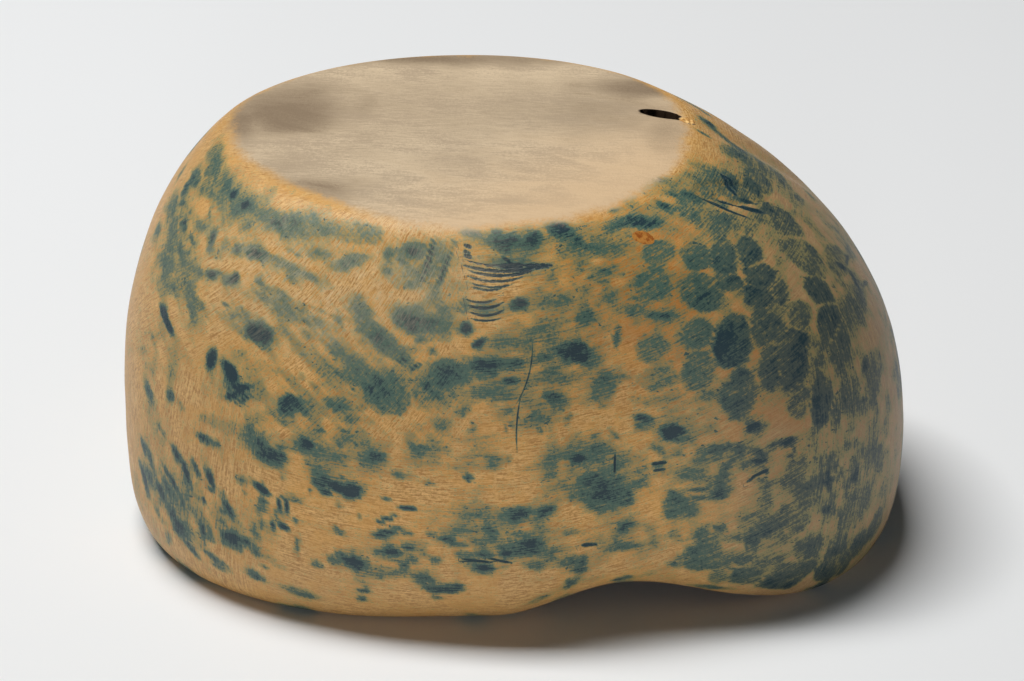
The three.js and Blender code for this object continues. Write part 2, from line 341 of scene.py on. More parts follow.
def ceiling_point(angle, share):
    """The ceiling from the rounded corner to its middle"""
    return ceiling_at(angle, lerp(cove_inward(angle), 1.0, share))


# What grew into the wood, in millimetres and degrees: its place on the wall as an angle, a drop and a
# heading, its outline, its depth, and how far its middle line sags
SEAM_UPPER = dict(at=(-82.0, 11.0, -6.0), length=22.0, width=5.0, depth=5.0, sag=-1.2)
SEAM_LOWER = dict(at=(-89.0, 23.0, -14.0), length=14.0, width=4.0, depth=4.0, sag=0.8)
POCKET_BARK = dict(length=17.0, width=2.8, depth=4.0, sag=-0.9)
POCKET_TURN, POCKET_FORWARD, POCKET_DOWN = np.radians(14.0), 6.5, 0.72
KNOT = dict(length=5.4, width=4.6, depth=6.0, sag=0.0)
RESIN = dict(at=(-49.5, 8.0, -28.0), length=8.4, width=4.6, depth=4.0, sag=0.4)
LEFT_FLECK = dict(at=(202.0, 40.0, -62.0), length=9.5, width=2.6, depth=4.0, sag=0.4)
LEAF = dict(length=LEAF_LENGTH, width=LEAF_WIDTH, sag=0.0)
SLOT = dict(length=SLOT_LENGTH, width=SLOT_WIDTH, sag=0.0)


def slot_frame(forward=0.0):
    """The slot's frame in the base just inside its edge, moved along its own heading"""
    angle = np.array(np.radians(SLOT_AT))
    place = step_towards(base_edge(angle), base_centre(angle), SLOT_INSET)
    heading = np.radians(SLOT_HEADING)
    right = np.array([np.cos(heading), np.sin(heading), 0.0])
    above = np.array([-np.sin(heading), np.cos(heading), 0.0])
    return place + right * forward, right, above, np.array([0.0, 0.0, 1.0])


def pocket_bark_frame():
    """The pocket's bark lies along the leaf's lower right edge: forward on the leaf, down a share of its
    half-width, and turned up a little"""
    origin, right, above, out = wall_frame(LEAF_AT, LEAF_DROP, LEAF_HEADING)
    cosine, sine = np.cos(POCKET_TURN), np.sin(POCKET_TURN)
    place = origin + right * POCKET_FORWARD - above * POCKET_DOWN * LEAF_WIDTH / 2
    return place, right * cosine + above * sine, above * cosine - right * sine, out


INGROWN = {
    "bark_strands_upper": (SEAM_UPPER, wall_frame(*SEAM_UPPER["at"])),
    "bark_strands_lower": (SEAM_LOWER, wall_frame(*SEAM_LOWER["at"])),
    "pocket_bark_strip": (POCKET_BARK, pocket_bark_frame()),
    "resin_drop": (RESIN, wall_frame(*RESIN["at"])),
    "bark_fleck": (LEFT_FLECK, wall_frame(*LEFT_FLECK["at"])),
    "knot_plug": (KNOT, slot_frame((SLOT_LENGTH + KNOT["length"]) / 2 - KNOT_OVERHANG)),
}
# A frame whose outward axis rises by more than this lies in the base and faces straight up
LEVEL = 0.999

# Carving: the shares of the broad facets and the small ones, each with its size and its seed, how much of
# it reaches the base and over what height it fades there, and the least that the looks lie inside the
# solids
FACETS = [(0.65625, 24.0, 3), (0.34375, 9.0, 7)]
BASE_CARVING, CARVED_BELOW, LEAST_SUNK = 0.12, (2.5, 0.2), 0.02
# The leaf's edge slopes over this range of shares, it reaches this far through, and its floor varies by a
# quarter
LEAF_OUTLINE, LEAF_SLOPE, LEAF_THROUGH, LEAF_VARIES, LEAF_NOISE = 1.06, 0.3, 8.0, 0.25, (3.0, 11)
# Points this near to the slot's outline, as a share of its size, are drawn onto it, and its walls are steep
SLOT_CATCH, SLOT_BELOW, SLOT_FALL = 0.22, 3.0, 3.2


def strand_share(across, along, piece):
    """0 on a strand's middle line and 1 on its outline: the distance from that line in half-sizes. The
    middle line is a parabola that leaves the axis by the sag."""
    middle = piece["sag"] * (1.0 - (2.0 * across / piece["length"]) ** 2)
    return np.hypot(2.0 * across / piece["length"], 2.0 * (along - middle) / piece["width"])


def hollows(points, carving):
    """How far hand carving has sunk the surface: broad shallow facets and small ones over them, each its
    share of the carving's depth times noise that runs from 0 to 1"""
    return carving * sum(share * (1.0 + noise(points, size, seed)) / 2 for share, size, seed in FACETS)


def sink(points, normals, shape):
    """Sinks the outside along its normals by the carving and the leaf-shaped pocket, whose depth rises from
    its outline in a smooth S. Then it draws the points near the slot's outline onto it, and lowers those
    within by the slot's depth times one minus an exponential of how far inside they are."""
    wall = 1.0 - ramp(points[..., 2], HEIGHT - CARVED_BELOW[0], HEIGHT - CARVED_BELOW[1])
    depth = hollows(points, shape.carving * 1000.0) * lerp(BASE_CARVING, 1.0, wall) + LEAST_SUNK
    across, along, out = into(wall_frame(LEAF_AT, LEAF_DROP, LEAF_HEADING), points)
    leafy = ramp(LEAF_OUTLINE - strand_share(across, along, LEAF), 0.0, LEAF_SLOPE)
    leafy = leafy * (np.abs(out) < LEAF_THROUGH)
    leafy = leafy * (1.0 - LEAF_VARIES + LEAF_VARIES * noise(points, *LEAF_NOISE))
    depth = depth + shape.leaf_depth * 1000.0 * leafy
    points = points - normals * depth[..., None]
    place = slot_frame()
    across, along, out = into(place, points)
    share = strand_share(across, along, SLOT)
    above = out > -SLOT_BELOW
    near = above & (np.abs(share - 1.0) < SLOT_CATCH)
    pull = np.where(near, 1.0 / np.maximum(share, 0.1) - 1.0, 0.0)[..., None]
    points = points + (place[1] * across[..., None] + place[2] * along[..., None]) * pull
    within = above & (share < 1.0 - SLOT_CATCH)
    fall = np.where(within, shape.slot_depth * 1000.0 * (1 - np.exp((share - 1.0) * SLOT_FALL)), 0.0)
    return points - place[3] * fall[..., None]


# How closely the body's columns stand: behind, then added in front, over the seams and over the slot, with
# the angles between which each adds. The front's are where it begins and ends.
COLUMNS_BEHIND, COLUMNS_FRONT, COLUMNS_SEAMS, COLUMNS_SLOT = 0.42, 0.58, 0.25, 0.7
FRONT_BEGINS, FRONT_ENDS, SEAMS_SPAN, SLOT_SPAN = (-195.0, -180.0), (14.0, 40.0), (-84, 14), (4, 11)


def columns_round(count):
    """Angles of the columns, from the back: at even steps of the running sum of the belly's radius times a
    weight, which is high over the front and the slot and low behind"""
    angle = np.radians(np.linspace(-270.0, 90.0, 3601))
    front = ramp(np.degrees(angle), *FRONT_BEGINS) * (1.0 - ramp(np.degrees(angle), *FRONT_ENDS))
    closer = COLUMNS_BEHIND + COLUMNS_FRONT * front
    closer = closer + COLUMNS_SEAMS * swell(angle, *SEAMS_SPAN) + COLUMNS_SLOT * swell(angle, *SLOT_SPAN)
    weight = belly_radius(angle) * closer
    running = np.concatenate([[0.0], np.cumsum((weight[1:] + weight[:-1]) / 2)])
    return np.interp(np.arange(count) / count, running / running[-1], angle)


def shares(rows, fine=0.0):
    """Row shares from just above 0 to 1, closer together near 1 where fine is above 0: even steps plus fine
    times a parabola"""
    share = np.arange(1, rows + 1) / rows
    return share + fine * share * (1.0 - share)


BODY_COLUMNS = 452
# The sections of the closed profile, from the base's centre round to the ceiling's, each with its rows
SECTIONS = [
    (base_point, shares(28, 0.55)),
    (edge_point, shares(6)),
    (upper_wall_point, shares(112)),
    (tuck_point, shares(22)),
    (land_point, shares(2)),
    (mouth_point, shares(8)),
    (inside_point, shares(20)),
    (cove_point, shares(5)),
    (ceiling_point, shares(6)[:-1]),
]
OUTSIDE_ROWS = sum(len(part) for _, part in SECTIONS[:4])


def grid_normals(grid):
    """Unit normals of a grid whose rows run down and whose columns run round it: the cross product of the
    differences down and round"""
    down = np.gradient(grid, axis=0)
    across = np.roll(grid, -1, axis=1) - np.roll(grid, 1, axis=1)
    normal = np.cross(down, across)
    return normal / np.maximum(np.linalg.norm(normal, axis=-1, keepdims=True), 1e-9)


def body_grid():
    """The whole closed surface as rows of points, from beside the base's centre to beside the ceiling's,
    and the angles of its columns"""
    angle = columns_round(BODY_COLUMNS)
    rows = []
    for section, part in SECTIONS:
        turns, parts = np.broadcast_arrays(angle[None, :], part[:, None])
        rows.append(section(turns, parts))
    return np.concatenate(rows), angle


def closed_mesh(name, grid, first, last):
    """A closed surface from rows of points and a pole at either end; quads between rows, triangles at the
    poles"""
    rows, columns = grid.shape[:2]
    points = np.concatenate([first[None], grid.reshape(-1, 3), last[None]]) / 1000.0
    index = 1 + np.arange(rows * columns).reshape(rows, columns)
    beside = np.roll(index, -1, axis=1)
    quads = np.stack([index[:-1], index[1:], beside[1:], beside[:-1]], axis=-1).reshape(-1)
    top = np.stack([np.zeros(columns, int), index[0], beside[0]], axis=-1).reshape(-1)
    end = np.stack([index[-1], np.full(columns, rows * columns + 1), beside[-1]], axis=-1).reshape(-1)
    loops = np.concatenate([quads, top, end])
    sizes = np.concatenate([np.full(len(quads) // 4, 4), np.full(2 * columns, 3)])
    mesh = bpy.data.meshes.new(name)
    mesh.vertices.add(len(points))
    mesh.vertices.foreach_set("co", points.astype(np.float32).ravel())
    mesh.loops.add(len(loops))
    mesh.loops.foreach_set("vertex_index", loops.astype(np.int32))
    mesh.polygons.add(len(sizes))
    mesh.polygons.foreach_set("loop_start", (np.cumsum(sizes) - sizes).astype(np.int32))
    mesh.update(calc_edges=True)
    mesh.polygons.foreach_set("use_smooth", np.ones(len(sizes), bool))
    mesh.validate()
    return mesh


def add_attribute(mesh, name, values):
    """Stores one number or one vector for each point of a closed mesh, its poles included"""
    kind = "FLOAT_VECTOR" if values.ndim == 2 else "FLOAT"
    field = "vector" if values.ndim == 2 else "value"
    mesh.attributes.new(name, kind, "POINT").data.foreach_set(field, values.astype(np.float32).ravel())


def with_poles(values):
    """A grid's values as one list, with those of its first and last row's start for the poles"""
    flat = values.reshape(-1, *values.shape[2:])
    return np.concatenate([flat[:1], flat, flat[-1:]])


# The dye: soft blots and thin strokes laid on the wall where the camera of the photograph sees them

# A blot is x, y, half-length, half-width in photo pixels, turn in degrees, and strength.
BLOTS = [
    (212, 162, 20, 8, -78, .72), (222, 187, 17, 9, -60, .74), (243, 206, 18, 9, -28, .8),
    (264, 215, 12, 8, -25, .7), (286, 223, 17, 12, -15, .95), (308, 221, 14, 9, -10, .66),
    (328, 230, 13, 7, -5, .55), (372, 233, 8, 5, -10, .55), (233, 194, 5, 5, 0, 1.8),
    (245, 204, 5.5, 5, 0, 1.8), (193, 178, 8, 7, 60, .8), (179, 174, 7, 3, 50, .7),
    (183, 223, 5, 4, 0, 1.1), (190, 242, 3, 3, 0, 1.1), (191, 209, 6, 3, 60, .7), (237, 248, 7, 6, 60, 1.2),
    (258, 251, 13, 8, -20, 1.25), (275, 259, 12, 4, -35, .85), (290, 268, 12, 4, -30, .85),
    (308, 277, 11, 4, -22, .85), (171, 205, 14, 7, 95, .68), (171, 229, 17, 8, 90, .74),
    (180, 247, 12, 6, -60, .7), (198, 266, 15, 8, -35, .86), (213, 273, 8, 7, 0, 1.5),
    (229, 282, 9, 4, 15, 1.2), (235, 278, 4, 6, 0, 1.4), (259, 281, 6, 5, 0, 1.05),
    (165, 262, 13, 6, -60, .6), (190, 303, 22, 9, -70, .62), (178, 285, 12, 6, -60, .5),
    (262, 297, 18, 5, -35, .56), (283, 309, 13, 8, -40, .66), (312, 305, 14, 5, -25, .52),
    (338, 320, 10, 5, -60, .6), (316, 322, 12, 6, -20, .48), (248, 322, 20, 12, -30, .5),
    (258, 333, 16, 12, -10, 1.3), (323, 254, 14, 6, -5, .6), (353, 260, 17, 7, 15, .86),
    (388, 254, 6, 8, 0, .75), (389, 270, 5, 7, 60, .7), (362, 322, 18, 13, -45, .86),
    (381, 342, 24, 16, -50, .9), (398, 357, 14, 8, -40, .5), (330, 350, 12, 7, -40, .6),
    (350, 373, 22, 15, -35, .92), (378, 392, 25, 18, -20, 1.0), (395, 406, 13, 11, 0, .9),
    (408, 320, 20, 13, 5, 1.0), (432, 322, 20, 11, -10, 1.0), (415, 252, 14, 10, 10, .92),
    (424, 271, 14, 11, 20, .92), (440, 256, 10, 11, 70, .66), (414, 285, 9, 5, 10, .8),
    (434, 285, 8, 5, 10, .86), (404, 262, 8, 6, 0, .8), (286, 405, 13, 12, 45, 1.4),
    (299, 406, 10, 13, 80, .66), (336, 402, 11, 8, -20, 1.0), (315, 385, 6, 4, -20, .8),
    (301, 377, 4, 4, 0, .7), (148, 392, 10, 3.5, -70, .86), (170, 398, 6, 4, 80, 1.0),
    (181, 407, 8, 4, -60, .6), (206, 442, 13, 3.5, -12, .86), (218, 446, 3, 4, 0, .9),
    (257, 443, 9, 9, 0, 1.1), (269, 455, 15, 9, -35, 1.2), (280, 458, 8, 7, 0, 1.15),
    (309, 445, 8, 6.5, -10, 1.25), (338, 460, 13, 8, 0, .58), (372, 460, 15, 10, 10, .8),
    (349, 437, 8, 6, 0, .55), (322, 480, 12, 12, 0, 1.0), (337, 489, 14, 8, -25, 1.15),
    (351, 494, 12, 9, 0, 1.2), (327, 495, 8, 4, 15, 1.2), (181, 523, 13, 8, -60, 1.15),
    (172, 511, 9, 6, -70, 1.0), (470, 232, 10, 4, -10, .9), (504, 243, 13, 10, 10, 1.1),
    (536, 237, 12, 9, 30, 1.1), (560, 232, 16, 11, -5, 1.15), (577, 243, 14, 8, 0, .95),
    (592, 248, 22, 5, 0, .86), (618, 225, 16, 5, 18, .9), (612, 210, 9, 4, 20, .75),
    (519, 304, 10, 6, 20, 1.1), (468, 329, 9, 7, -10, 1.25), (506, 341, 13, 7, 0, .6),
    (516, 347, 6, 5, 0, .9), (424, 322, 26, 12, -4, .9), (586, 320, 14, 12, 0, .74),
    (572, 354, 16, 12, -10, 1.25), (590, 358, 12, 9, 0, .7), (609, 293, 11, 11, 0, .66),
    (604, 273, 11, 5, -10, .9), (446, 373, 24, 14, 10, 1.05), (480, 368, 10, 12, 80, 1.15),
    (424, 387, 8, 8, 0, 1.05), (436, 396, 9, 6, 0, 1.0), (512, 364, 20, 7, 0, .86),
    (512, 382, 10, 5, 0, .86), (546, 359, 6, 5, 0, .8), (554, 375, 14, 8, -20, .62),
    (556, 396, 8, 5, 0, 1.0), (604, 385, 16, 12, 20, .8), (495, 392, 20, 10, 0, .58),
    (533, 420, 16, 10, 5, .8), (462, 412, 7, 5, 0, .6), (443, 426, 13, 7, 0, .56),
    (418, 454, 15, 10, 30, .84), (495, 464, 11, 6, 0, .55), (468, 479, 4, 4, 60, 1.3),
    (428, 483, 7, 4, 0, .55), (556, 456, 12, 10, 0, .7), (582, 457, 22, 11, -5, .8),
    (478, 343, 8, 4, 40, 1.35), (604, 484, 28, 12, -10, .96), (604, 500, 27, 12, 0, 1.1),
    (579, 458, 11, 6, 0, 1.4), (472, 514, 22, 10, 0, .5), (522, 514, 20, 5, 0, 1.1),
    (545, 512, 14, 6, 15, 1.2), (460, 533, 16, 5, 5, .9), (491, 531, 5, 7, 60, 1.1),
    (447, 541, 9, 4, 0, 1.0), (521, 551, 28, 8, 8, 1.15), (483, 566, 14, 5, 0, 1.1),
    (571, 533, 9, 2.5, 0, .95), (627, 524, 9, 5, 20, 1.15), (619, 548, 18, 4, 0, .95),
    (392, 552, 14, 5, 5, 1.2), (409, 547, 8, 4, 0, 1.1), (453, 588, 18, 4, 5, 1.1),
    (424, 579, 8, 5, 0, 1.0), (403, 567, 4, 3, 0, .9), (623, 579, 12, 2, 4, .9),
    (569, 587, 5, 2.5, 15, .95), (539, 601, 16, 3, 12, .6), (386, 575, 20, 6, 0, .5),
    (644, 420, 8, 4, -15, 1.25), (667, 207, 10, 5, -10, 1.0), (638, 222, 30, 7, 8, .98),
    (690, 214, 26, 7, -8, .62), (720, 222, 24, 12, 5, .6), (698, 107, 20, 4, -24, .85),
    (728, 139, 26, 5, -24, 1.0), (728, 152, 12, 7, -15, .92), (744, 160, 14, 6, -25, .78),
    (765, 166, 20, 10, -40, .6), (784, 182, 18, 10, -45, .64), (752, 173, 10, 9, -20, .5),
    (706, 168, 18, 8, -5, .42), (712, 182, 26, 8, -5, .44), (738, 190, 18, 8, -5, .46),
    (692, 196, 12, 4, -10, .9), (756, 187, 9, 7, -30, .95), (797, 196, 6, 5, 0, .9),
    (687, 509, 16, 12, -20, .85), (684, 437, 13, 7, -5, .85), (784, 213, 11, 2.5, 5, 1.0),
    (713, 125, 7, 4, -50, 1.15), (703, 133, 11, 2.5, -12, .9), (610, 299, 10, 11, 0, .6),
    (658, 316, 17, 5, -8, .95), (776, 213, 11, 3, -3, 1.1), (800, 196, 6, 4, -30, .8),
    (734, 151, 15, 6, -12, .98), (760, 160, 16, 5, -20, .74), (670, 432, 12, 5, 5, 1.2),
    (674, 434, 14, 8, 5, 1.45), (753, 428, 10, 8, 0, 1.5), (733, 414, 12, 7, 0, .8),
    (716, 449, 8, 7, 0, 1.05), (758, 450, 7, 4, -30, 1.15), (761, 463, 9, 3, 15, 1.2),
    (768, 472, 4, 4, 0, 1.1), (789, 443, 9, 5, 0, 1.1), (791, 456, 4, 3, 0, 1.1), (728, 471, 5, 5, 0, 1.1),
    (723, 491, 10, 7, 0, 1.1), (700, 491, 9, 3, 5, 1.15), (697, 500, 9, 3.5, 5, 1.2),
    (673, 494, 4, 3, 0, .9), (808, 495, 16, 6, 70, .98), (822, 478, 12, 5, 80, .9),
    (829, 462, 9, 4, 75, .98), (831, 483, 9, 4, 0, .98), (857, 476, 10, 5, 75, .98),
    (857, 498, 10, 5, 85, .9), (867, 366, 9, 4, 80, 1.0), (866, 401, 5, 3, 30, .9),
    (839, 421, 4, 2.5, 90, 1.0), (826, 512, 5, 5, 0, 1.1), (836, 512, 4, 4, 0, 1.0),
    (720, 527, 7, 5, 20, 1.0), (427, 265, 23, 2.4, 75, 1.6), (443, 272, 22, 2.2, 68, 1.5),
    (505, 264, 24, 7, 0, .72), (486, 309, 16, 8, 0, .62), (162, 313, 6, 4, -80, 1.5),
    (167, 324, 6, 3.5, -60, 1.45), (147, 452, 8, 5, -60, .86), (150, 478, 14, 5, -62, .8),
    (168, 486, 9, 4, -50, .9), (243, 546, 24, 4.5, -27, 1.1), (255, 575, 12, 5, -12, 1.05),
    (352, 566, 12, 8, 0, 1.3), (318, 567, 7, 3, 0, 1.0), (297, 545, 3, 12, -10, .8),
    (226, 534, 10, 4, -20, 1.15), (205, 520, 12, 3.5, -50, .9), (190, 548, 14, 4, -40, .9),
    (215, 562, 14, 4, -22, .9), (304, 594, 24, 5, -6, .8), (240, 480, 7, 5, 0, .75),
    (262, 500, 5, 4, 0, .8), (296, 500, 12, 5, 0, .7), (813, 587, 16, 2.5, 6, .8),
    (713, 588, 17, 2, -4, .8), (662, 180, 14, 5, -5, .45), (700, 180, 22, 4, -10, .5),
    (735, 182, 12, 5, -50, .8), (680, 196, 20, 3, -8, .7), (748, 200, 14, 3, 5, 1.1),
    (862, 300, 18, 7, 78, .62), (846, 340, 26, 8, 82, .62), (872, 440, 22, 6, 85, .6),
    (850, 250, 14, 6, 70, .6), (800, 470, 20, 12, 80, .45),
]

# A band is its half-width, its strength and the photo pixels that it runs through.
BANDS = [
    (10, .6, (212, 152), (217, 182), (234, 200), (258, 213), (286, 222), (318, 229), (350, 234),
     (378, 236)),
    (8, .5, (196, 168), (187, 196), (181, 226), (192, 256), (214, 272)),
    (7, .5, (172, 196), (170, 232), (178, 262)),
    (8, .45, (232, 246), (262, 254), (300, 272), (322, 282)),
    (9, .45, (236, 300), (272, 306), (300, 318), (336, 330), (352, 340)),
    (11, .5, (352, 312), (376, 338), (398, 358)),
    (12, .5, (340, 366), (372, 388), (396, 402)),
    (9, .5, (404, 320), (436, 322), (466, 330)),
    (10, .45, (404, 262), (426, 280), (440, 262)),
    (8, .45, (540, 240), (580, 244), (620, 250)),
    (9, .45, (430, 372), (470, 372), (520, 366)),
    (8, .42, (440, 398), (480, 394), (520, 396)),
    (12, .5, (640, 215), (690, 212), (740, 222), (790, 240)),
    (12, .5, (650, 190), (700, 180), (745, 190)),
    (8, .5, (735, 150), (768, 172), (800, 206), (832, 250)),
    (9, .45, (560, 300), (580, 320), (572, 352)),
    (10, .4, (500, 546), (540, 548), (520, 556)),
    (8, .4, (150, 400), (156, 440), (170, 490), (184, 522)),
    (7, .56, (176, 262), (196, 300), (232, 326), (268, 346)),
    (9, .58, (226, 290), (262, 312), (300, 346), (330, 384), (352, 400)),
    (6, .52, (292, 288), (330, 312), (352, 318)),
    (7, .5, (262, 356), (300, 386), (318, 410)),
    (7, .5, (206, 420), (250, 436), (300, 446), (350, 458)),
]

# A wipe is a pale streak along which the ink was rubbed off: its half-width, its strength and its photo
# pixels.
WIPES = [
    (7, .75, (197, 204), (222, 230), (254, 237), (283, 251)),
    (5, .75, (186, 244), (206, 266), (229, 263), (269, 277), (305, 298), (336, 308)),
    (5.5, .7, (204, 284), (244, 302), (272, 320)),
    (4.5, .75, (200, 292), (226, 334), (265, 359), (308, 374), (330, 392), (373, 413)),
    (4.5, .62, (308, 287), (344, 305), (352, 334), (380, 359), (400, 370)),
    (4.5, .55, (373, 296), (388, 325), (410, 344)),
    (4, .4, (290, 330), (318, 345), (340, 366)),
]

# A wash is the centre of a wide soft oval in photo pixels, its two half-sizes and its strength.
WASHES = [
    (220, 210, 60, 60, .74), (310, 230, 90, 30, .5), (190, 270, 50, 70, .74), (285, 305, 85, 50, .74),
    (360, 360, 80, 60, .74), (425, 290, 60, 70, .74), (560, 242, 110, 24, .81), (560, 320, 100, 80, .68),
    (520, 390, 120, 50, .68), (450, 380, 70, 40, .74), (740, 320, 110, 130, .81), (840, 330, 60, 160, .84),
    (840, 480, 60, 110, .81), (740, 195, 80, 50, .62), (780, 215, 60, 40, .7), (660, 330, 60, 120, .68),
    (500, 530, 100, 55, .56), (300, 435, 90, 55, .74), (170, 470, 46, 80, .68), (720, 555, 120, 34, .8),
    (350, 460, 60, 45, .68), (590, 470, 80, 50, .74), (710, 450, 90, 60, .8), (250, 385, 60, 50, .72),
    (240, 530, 80, 40, .41), (160, 350, 40, 60, .54), (440, 450, 80, 40, .57), (400, 560, 90, 40, .4),
    (620, 540, 60, 40, .47), (885, 390, 40, 170, .85), (780, 500, 70, 70, .86), (560, 570, 60, 24, .54),
]

# Cells are blots that lie side by side, parted by thin pale veins.
CELLS = [
    (725, 259, 17, 13, 88, 1.0), (728, 281, 16, 9, 5, .86), (698, 256, 14, 12, 40, .84),
    (654, 284, 15, 13, 20, .74), (704, 291, 20, 17, -40, .86), (659, 252, 13, 11, 0, .6),
    (751, 254, 16, 12, -80, .92), (760, 276, 18, 13, -20, .96), (760, 296, 16, 12, 0, .96),
    (767, 327, 19, 17, 70, 1.0), (697, 336, 16, 15, 0, .9), (732, 341, 25, 20, 75, 1.2),
    (699, 371, 19, 15, 80, .84), (653, 349, 15, 14, 0, .74), (658, 379, 17, 10, 10, .52),
    (738, 394, 23, 17, 80, 1.0), (769, 365, 23, 11, 90, .92), (795, 360, 28, 13, 85, 1.05),
    (806, 256, 19, 15, -20, .74), (818, 289, 15, 12, 0, .92), (803, 315, 14, 11, 60, .72),
    (829, 320, 16, 11, 80, .94), (822, 404, 24, 10, 88, 1.05), (784, 219, 20, 12, -10, .76),
    (781, 290, 13, 8, 80, .6), (843, 350, 22, 9, 84, .72), (800, 400, 16, 10, 85, .7),
    (858, 300, 16, 9, 75, .6), (839, 262, 14, 10, 60, .62), (850, 390, 22, 9, 86, .62),
    (875, 380, 24, 8, 86, .56), (762, 180, 14, 10, -30, .7), (706, 557, 24, 12, -8, .86),
    (742, 551, 11, 8, 0, .95), (750, 544, 13, 7, 85, 1.1), (772, 528, 18, 8, 5, .9),
    (808, 548, 15, 13, 10, .86), (838, 546, 13, 10, 60, .9), (746, 577, 18, 8, -6, .92),
    (788, 577, 26, 12, 5, 1.0), (826, 570, 14, 9, 20, .9), (846, 563, 10, 8, 60, .86),
    (860, 545, 13, 8, 65, .86), (877, 526, 13, 8, 72, .76), (800, 522, 12, 8, 10, .7),
    (845, 520, 14, 9, 70, .7), (865, 505, 14, 7, 78, .7), (722, 577, 10, 6, 0, .6),
]

# A stroke is its two ends in photo pixels, its width and its strength.
STROKES = [
    (216, 227, 210, 243, 7, 1.3), (210, 207, 207, 216, 3, 1.0), (164, 307, 166, 321, 6, 1.3),
    (170, 325, 172, 331, 4, 1.2), (210, 368, 215, 351, 6, 1.4), (227, 364, 236, 376, 9, 1.4),
    (236, 390, 250, 387, 4, 1.3), (228, 401, 246, 391, 4, 1.3), (236, 403, 248, 394, 4, 1.3),
    (142, 440, 145, 453, 4, .9), (149, 455, 153, 470, 4, .9), (171, 451, 181, 463, 6, 1.0),
    (181, 460, 184, 474, 4, .9), (139, 468, 147, 488, 5, .9), (164, 474, 178, 491, 4, 1.0),
    (186, 467, 190, 484, 4, 1.0), (193, 462, 199, 478, 5, .8), (206, 472, 211, 486, 6, 1.1),
    (207, 488, 211, 492, 5, 1.0), (158, 486, 165, 500, 6, .9), (181, 501, 184, 514, 4, .9),
    (202, 500, 204, 506, 4, 1.0), (256, 486, 266, 492, 6, 1.1), (222, 504, 231, 519, 6, 1.1),
    (289, 500, 287, 514, 5, 1.2), (280, 499, 276, 513, 4, 1.0), (275, 519, 271, 531, 3, 1.0),
    (280, 529, 286, 532, 5, 1.1), (224, 538, 234, 534, 8, 1.1), (196, 524, 205, 536, 6, 1.0),
    (377, 523, 395, 515, 4, 1.3), (376, 537, 398, 530, 5, 1.2), (398, 509, 411, 510, 3, 1.2),
    (534, 346, 519, 401, 1.0, .8, -4), (519, 401, 516, 452, 1.2, 1.0, 2), (419, 365, 410, 371, 4, 1.0),
    (395, 366, 404, 358, 4, 1.1), (651, 463, 664, 462, 2.5, 1.3), (653, 470, 663, 469, 2, 1.0),
    (616, 456, 616, 474, 1.6, 1.2), (619, 326, 617, 345, 4, .9), (722, 176, 736, 190, 2.6, 1.1),
    (746, 481, 756, 474, 2.2, 1.2), (756, 474, 768, 470, 2.4, 1.1), (838, 268, 847, 266, 4, 1.0),
    (847, 266, 850, 254, 3, .9), (851, 276, 862, 286, 4, .9), (862, 288, 867, 279, 3, .9),
    (827, 470, 829, 492, 3, .9), (583, 544, 596, 545, 2.6, 1.3), (465, 559, 492, 562, 1.6, 1.2),
    (490, 557, 512, 562, 1.8, 1.2), (464, 245, 469, 247, 2.6, 1.3), (464, 251, 469, 253, 2.6, 1.2),
    (464, 256, 470, 258, 2.8, 1.4),
    # The upper seam's strands, from top to bottom
    (467, 260, 520, 262, 1.6, 1.3, 4), (468, 265, 546, 263, 2.4, 1.7, 6), (500, 266, 547, 265, 4.2, 1.7, 1),
    (469, 271, 534, 269, 2.2, 1.6, 6), (470, 277, 524, 277, 1.8, 1.4, 5), (472, 282, 515, 283, 1.6, 1.3, 4),
    (475, 287, 502, 288, 2.0, 1.4, 2), (504, 258, 512, 264, 3.0, 1.4),
    # The lower seam's strands
    (467, 300, 494, 300, 1.6, 1.3, 3), (468, 306, 500, 304, 2.0, 1.5, 4), (470, 312, 502, 310, 1.8, 1.4, 4),
    (474, 318, 500, 318, 1.6, 1.3, 2),
    # The pocket's bark and the left fleck
    (704, 200, 738, 207, 1.3, 1.0, 2), (720, 207, 764, 204, 2.6, 1.6, 2), (700, 204, 748, 209, 1.4, 1.2, 2),
    (727, 178, 739, 186, 1.6, 1.2, -2), (160, 308, 164, 318, 5.0, 1.6), (163, 318, 170, 330, 5.0, 1.5),
]

# A stain of the raw base is its centre in photo pixels, its two half-sizes and its depth. The long one at
# (450, 58) and the two at x 640 lie along the base's back edge and are painted shade there.
STAINS_AND_SHADE = [
    (290, 112, 80, 32, 1.15), (450, 58, 170, 10, 1.0), (312, 190, 70, 18, .8), (600, 110, 90, 30, .7),
    (240, 120, 30, 26, 1.1), (664, 130, 30, 20, .7), (640, 88, 60, 14, 1.1), (540, 110, 150, 34, .5),
    (420, 110, 120, 40, .45), (455, 160, 60, 20, .4), (420, 140, 60, 14, .25), (350, 150, 60, 18, .35),
    (285, 165, 40, 20, .5), (640, 98, 30, 8, .5),
]

